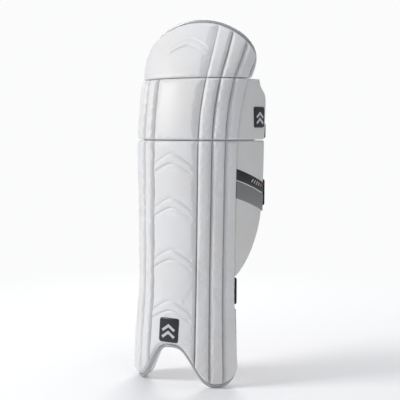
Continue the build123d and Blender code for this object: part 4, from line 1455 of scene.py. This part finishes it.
def build_floor():
    """Pale floor that fades into the backdrop for the camera."""
    size, z = 9, -0.0006  # metres
    mesh = bpy.data.meshes.new("floor")
    mesh.from_pydata([(-size, -size, z), (size, -size, z), (size, size, z), (-size, size, z)],
                     [], [(0, 1, 2, 3)])
    floor = bpy.data.objects.new("floor", mesh)
    bpy.context.scene.collection.objects.link(floor)
    material = bpy.data.materials.new("pale_floor")
    material.use_nodes = True
    material.node_tree.nodes.clear()
    g = Graph(material.node_tree)
    output = g.node("ShaderNodeOutputMaterial")
    diffuse = g.node("ShaderNodeBsdfDiffuse")
    g.put(diffuse.inputs[0], (0.88, 0.88, 0.885))
    emission = g.node("ShaderNodeEmission")
    g.put(emission.inputs[0], BACKDROP)
    distance = g.node("ShaderNodeVectorMath", operation="LENGTH")
    g.put(distance.inputs[0], g.position())
    far = g.step(distance.outputs["Value"], start=0.25, end=1.5)
    seen = g.node("ShaderNodeLightPath").outputs["Is Camera Ray"]
    mix = g.node("ShaderNodeMixShader")
    g.fill(mix, {0: g.multiply(far, seen), 1: diffuse.outputs[0], 2: emission.outputs[0]})
    g.put(output.inputs[0], mix.outputs[0])
    mesh.materials.append(material)


def build_world():
    """Cool dim light on the pad, plain bright backdrop for the camera."""
    scene = bpy.context.scene
    world = bpy.data.worlds.new("studio")
    scene.world = world
    world.use_nodes = True
    g = Graph(world.node_tree)
    seen = g.node("ShaderNodeLightPath").outputs["Is Camera Ray"]
    strength = 0.34
    g.fill(world.node_tree.nodes["Background"], {
        0: g.mix(seen, (0.90, 0.94, 1.0), BACKDROP),
        1: g.add(strength, g.multiply(seen, 0.66))})
    scene.view_settings.view_transform = "Standard"
    scene.view_settings.look = "None"


def add_light(name, location, target, size, power, color=(1, 1, 1)):
    """Rectangular light aimed at a target; metres and watts."""
    light = bpy.data.lights.new(name, "AREA")
    light.shape = "RECTANGLE"
    light.size, light.size_y = size
    light.energy = power
    light.color = color
    obj = bpy.data.objects.new(name, light)
    bpy.context.scene.collection.objects.link(obj)
    obj.location = location
    aim = Vector(target) - Vector(location)
    obj.rotation_euler = aim.to_track_quat("-Z", "Y").to_euler()
    obj.visible_camera = False


def build_lights():
    add_light("key", (-1.9, -1.75, 1.75), target=(0, 0, 0.35), size=(0.9, 1.3), power=54,
              color=(1.0, 0.995, 0.985))
    add_light("fill", (2.4, -1.4, 0.8), target=(0, 0, 0.3), size=(1.4, 1.6), power=8,
              color=(0.96, 0.98, 1.0))
    add_light("top", (0.1, 0.3, 2.3), target=(0, 0, 0.4), size=(1.2, 1.2), power=12)
    add_light("rear", (-1.1, 2.3, 1.6), target=(0, 0, 0.35), size=(1.3, 1.3), power=42)


def build_camera():
    """Camera in front of the pad on its outer side, looking slightly down."""
    heading = math.radians(30.4)
    pitch = 0.0748
    back_off, shift_left, height = 1832.5, 87.7, 485.0  # mm
    widening = 1.06  # how much wider the view is than at the base focal length
    forward = np.array([-math.sin(heading), math.cos(heading), 0.0])
    right = np.array([math.cos(heading), math.sin(heading), 0.0])
    position = -shift_left * right - back_off * forward + np.array([0, LEG_Y, height])
    look = forward * math.cos(pitch) - np.array([0, 0, 1.0]) * math.sin(pitch)
    data = bpy.data.cameras.new("camera")
    camera = bpy.data.objects.new("camera", data)
    bpy.context.scene.collection.objects.link(camera)
    camera.location = position / 1000.0
    camera.rotation_euler = Vector(look).to_track_quat("-Z", "Y").to_euler()
    data.sensor_width = 36.0
    data.sensor_height = 36.0
    data.sensor_fit = "HORIZONTAL"
    data.lens = 88.974 / widening
    data.shift_x = 0.13 / widening
    data.clip_start = 0.05
    bpy.context.scene.camera = camera


# ------------------------------------------------------------------ build, in scene order
shin_front()
for number in (1, 2, 3):
    for side, tag in SIDES:
        shin_channel(number, side, tag)
foot_hem()
ear_lining()
for side, tag in SIDES:
    calf_bolster(side, tag)
centre_strip()

knee_rolls()
side_wings()
knee_cushion()
knee_diamond()
knee_emblem()
badges()
wing_bands()

dome_cover()
dome_hem()
dome_lining()
for side, tag in SIDES:
    wing_inside(side, tag)
for strap in STRAPS:
    build_strap(strap)
gussets()
for side, tag in SIDES:
    wing_seams(side, tag)

# the internal pieces keep their own solids and only take a material
for name, mat in (("cane_rods", CANE), ("shin_core_board", BOARD), ("knee_foam_block", FOAM),
                  ("knee_impact_insert", FOAM), ("top_foam", FOAM)):
    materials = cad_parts[name].data.materials
    materials.clear()
    materials.append(mat)

build_stitches()
run_cloth()

build_floor()
build_world()
build_lights()
build_camera()
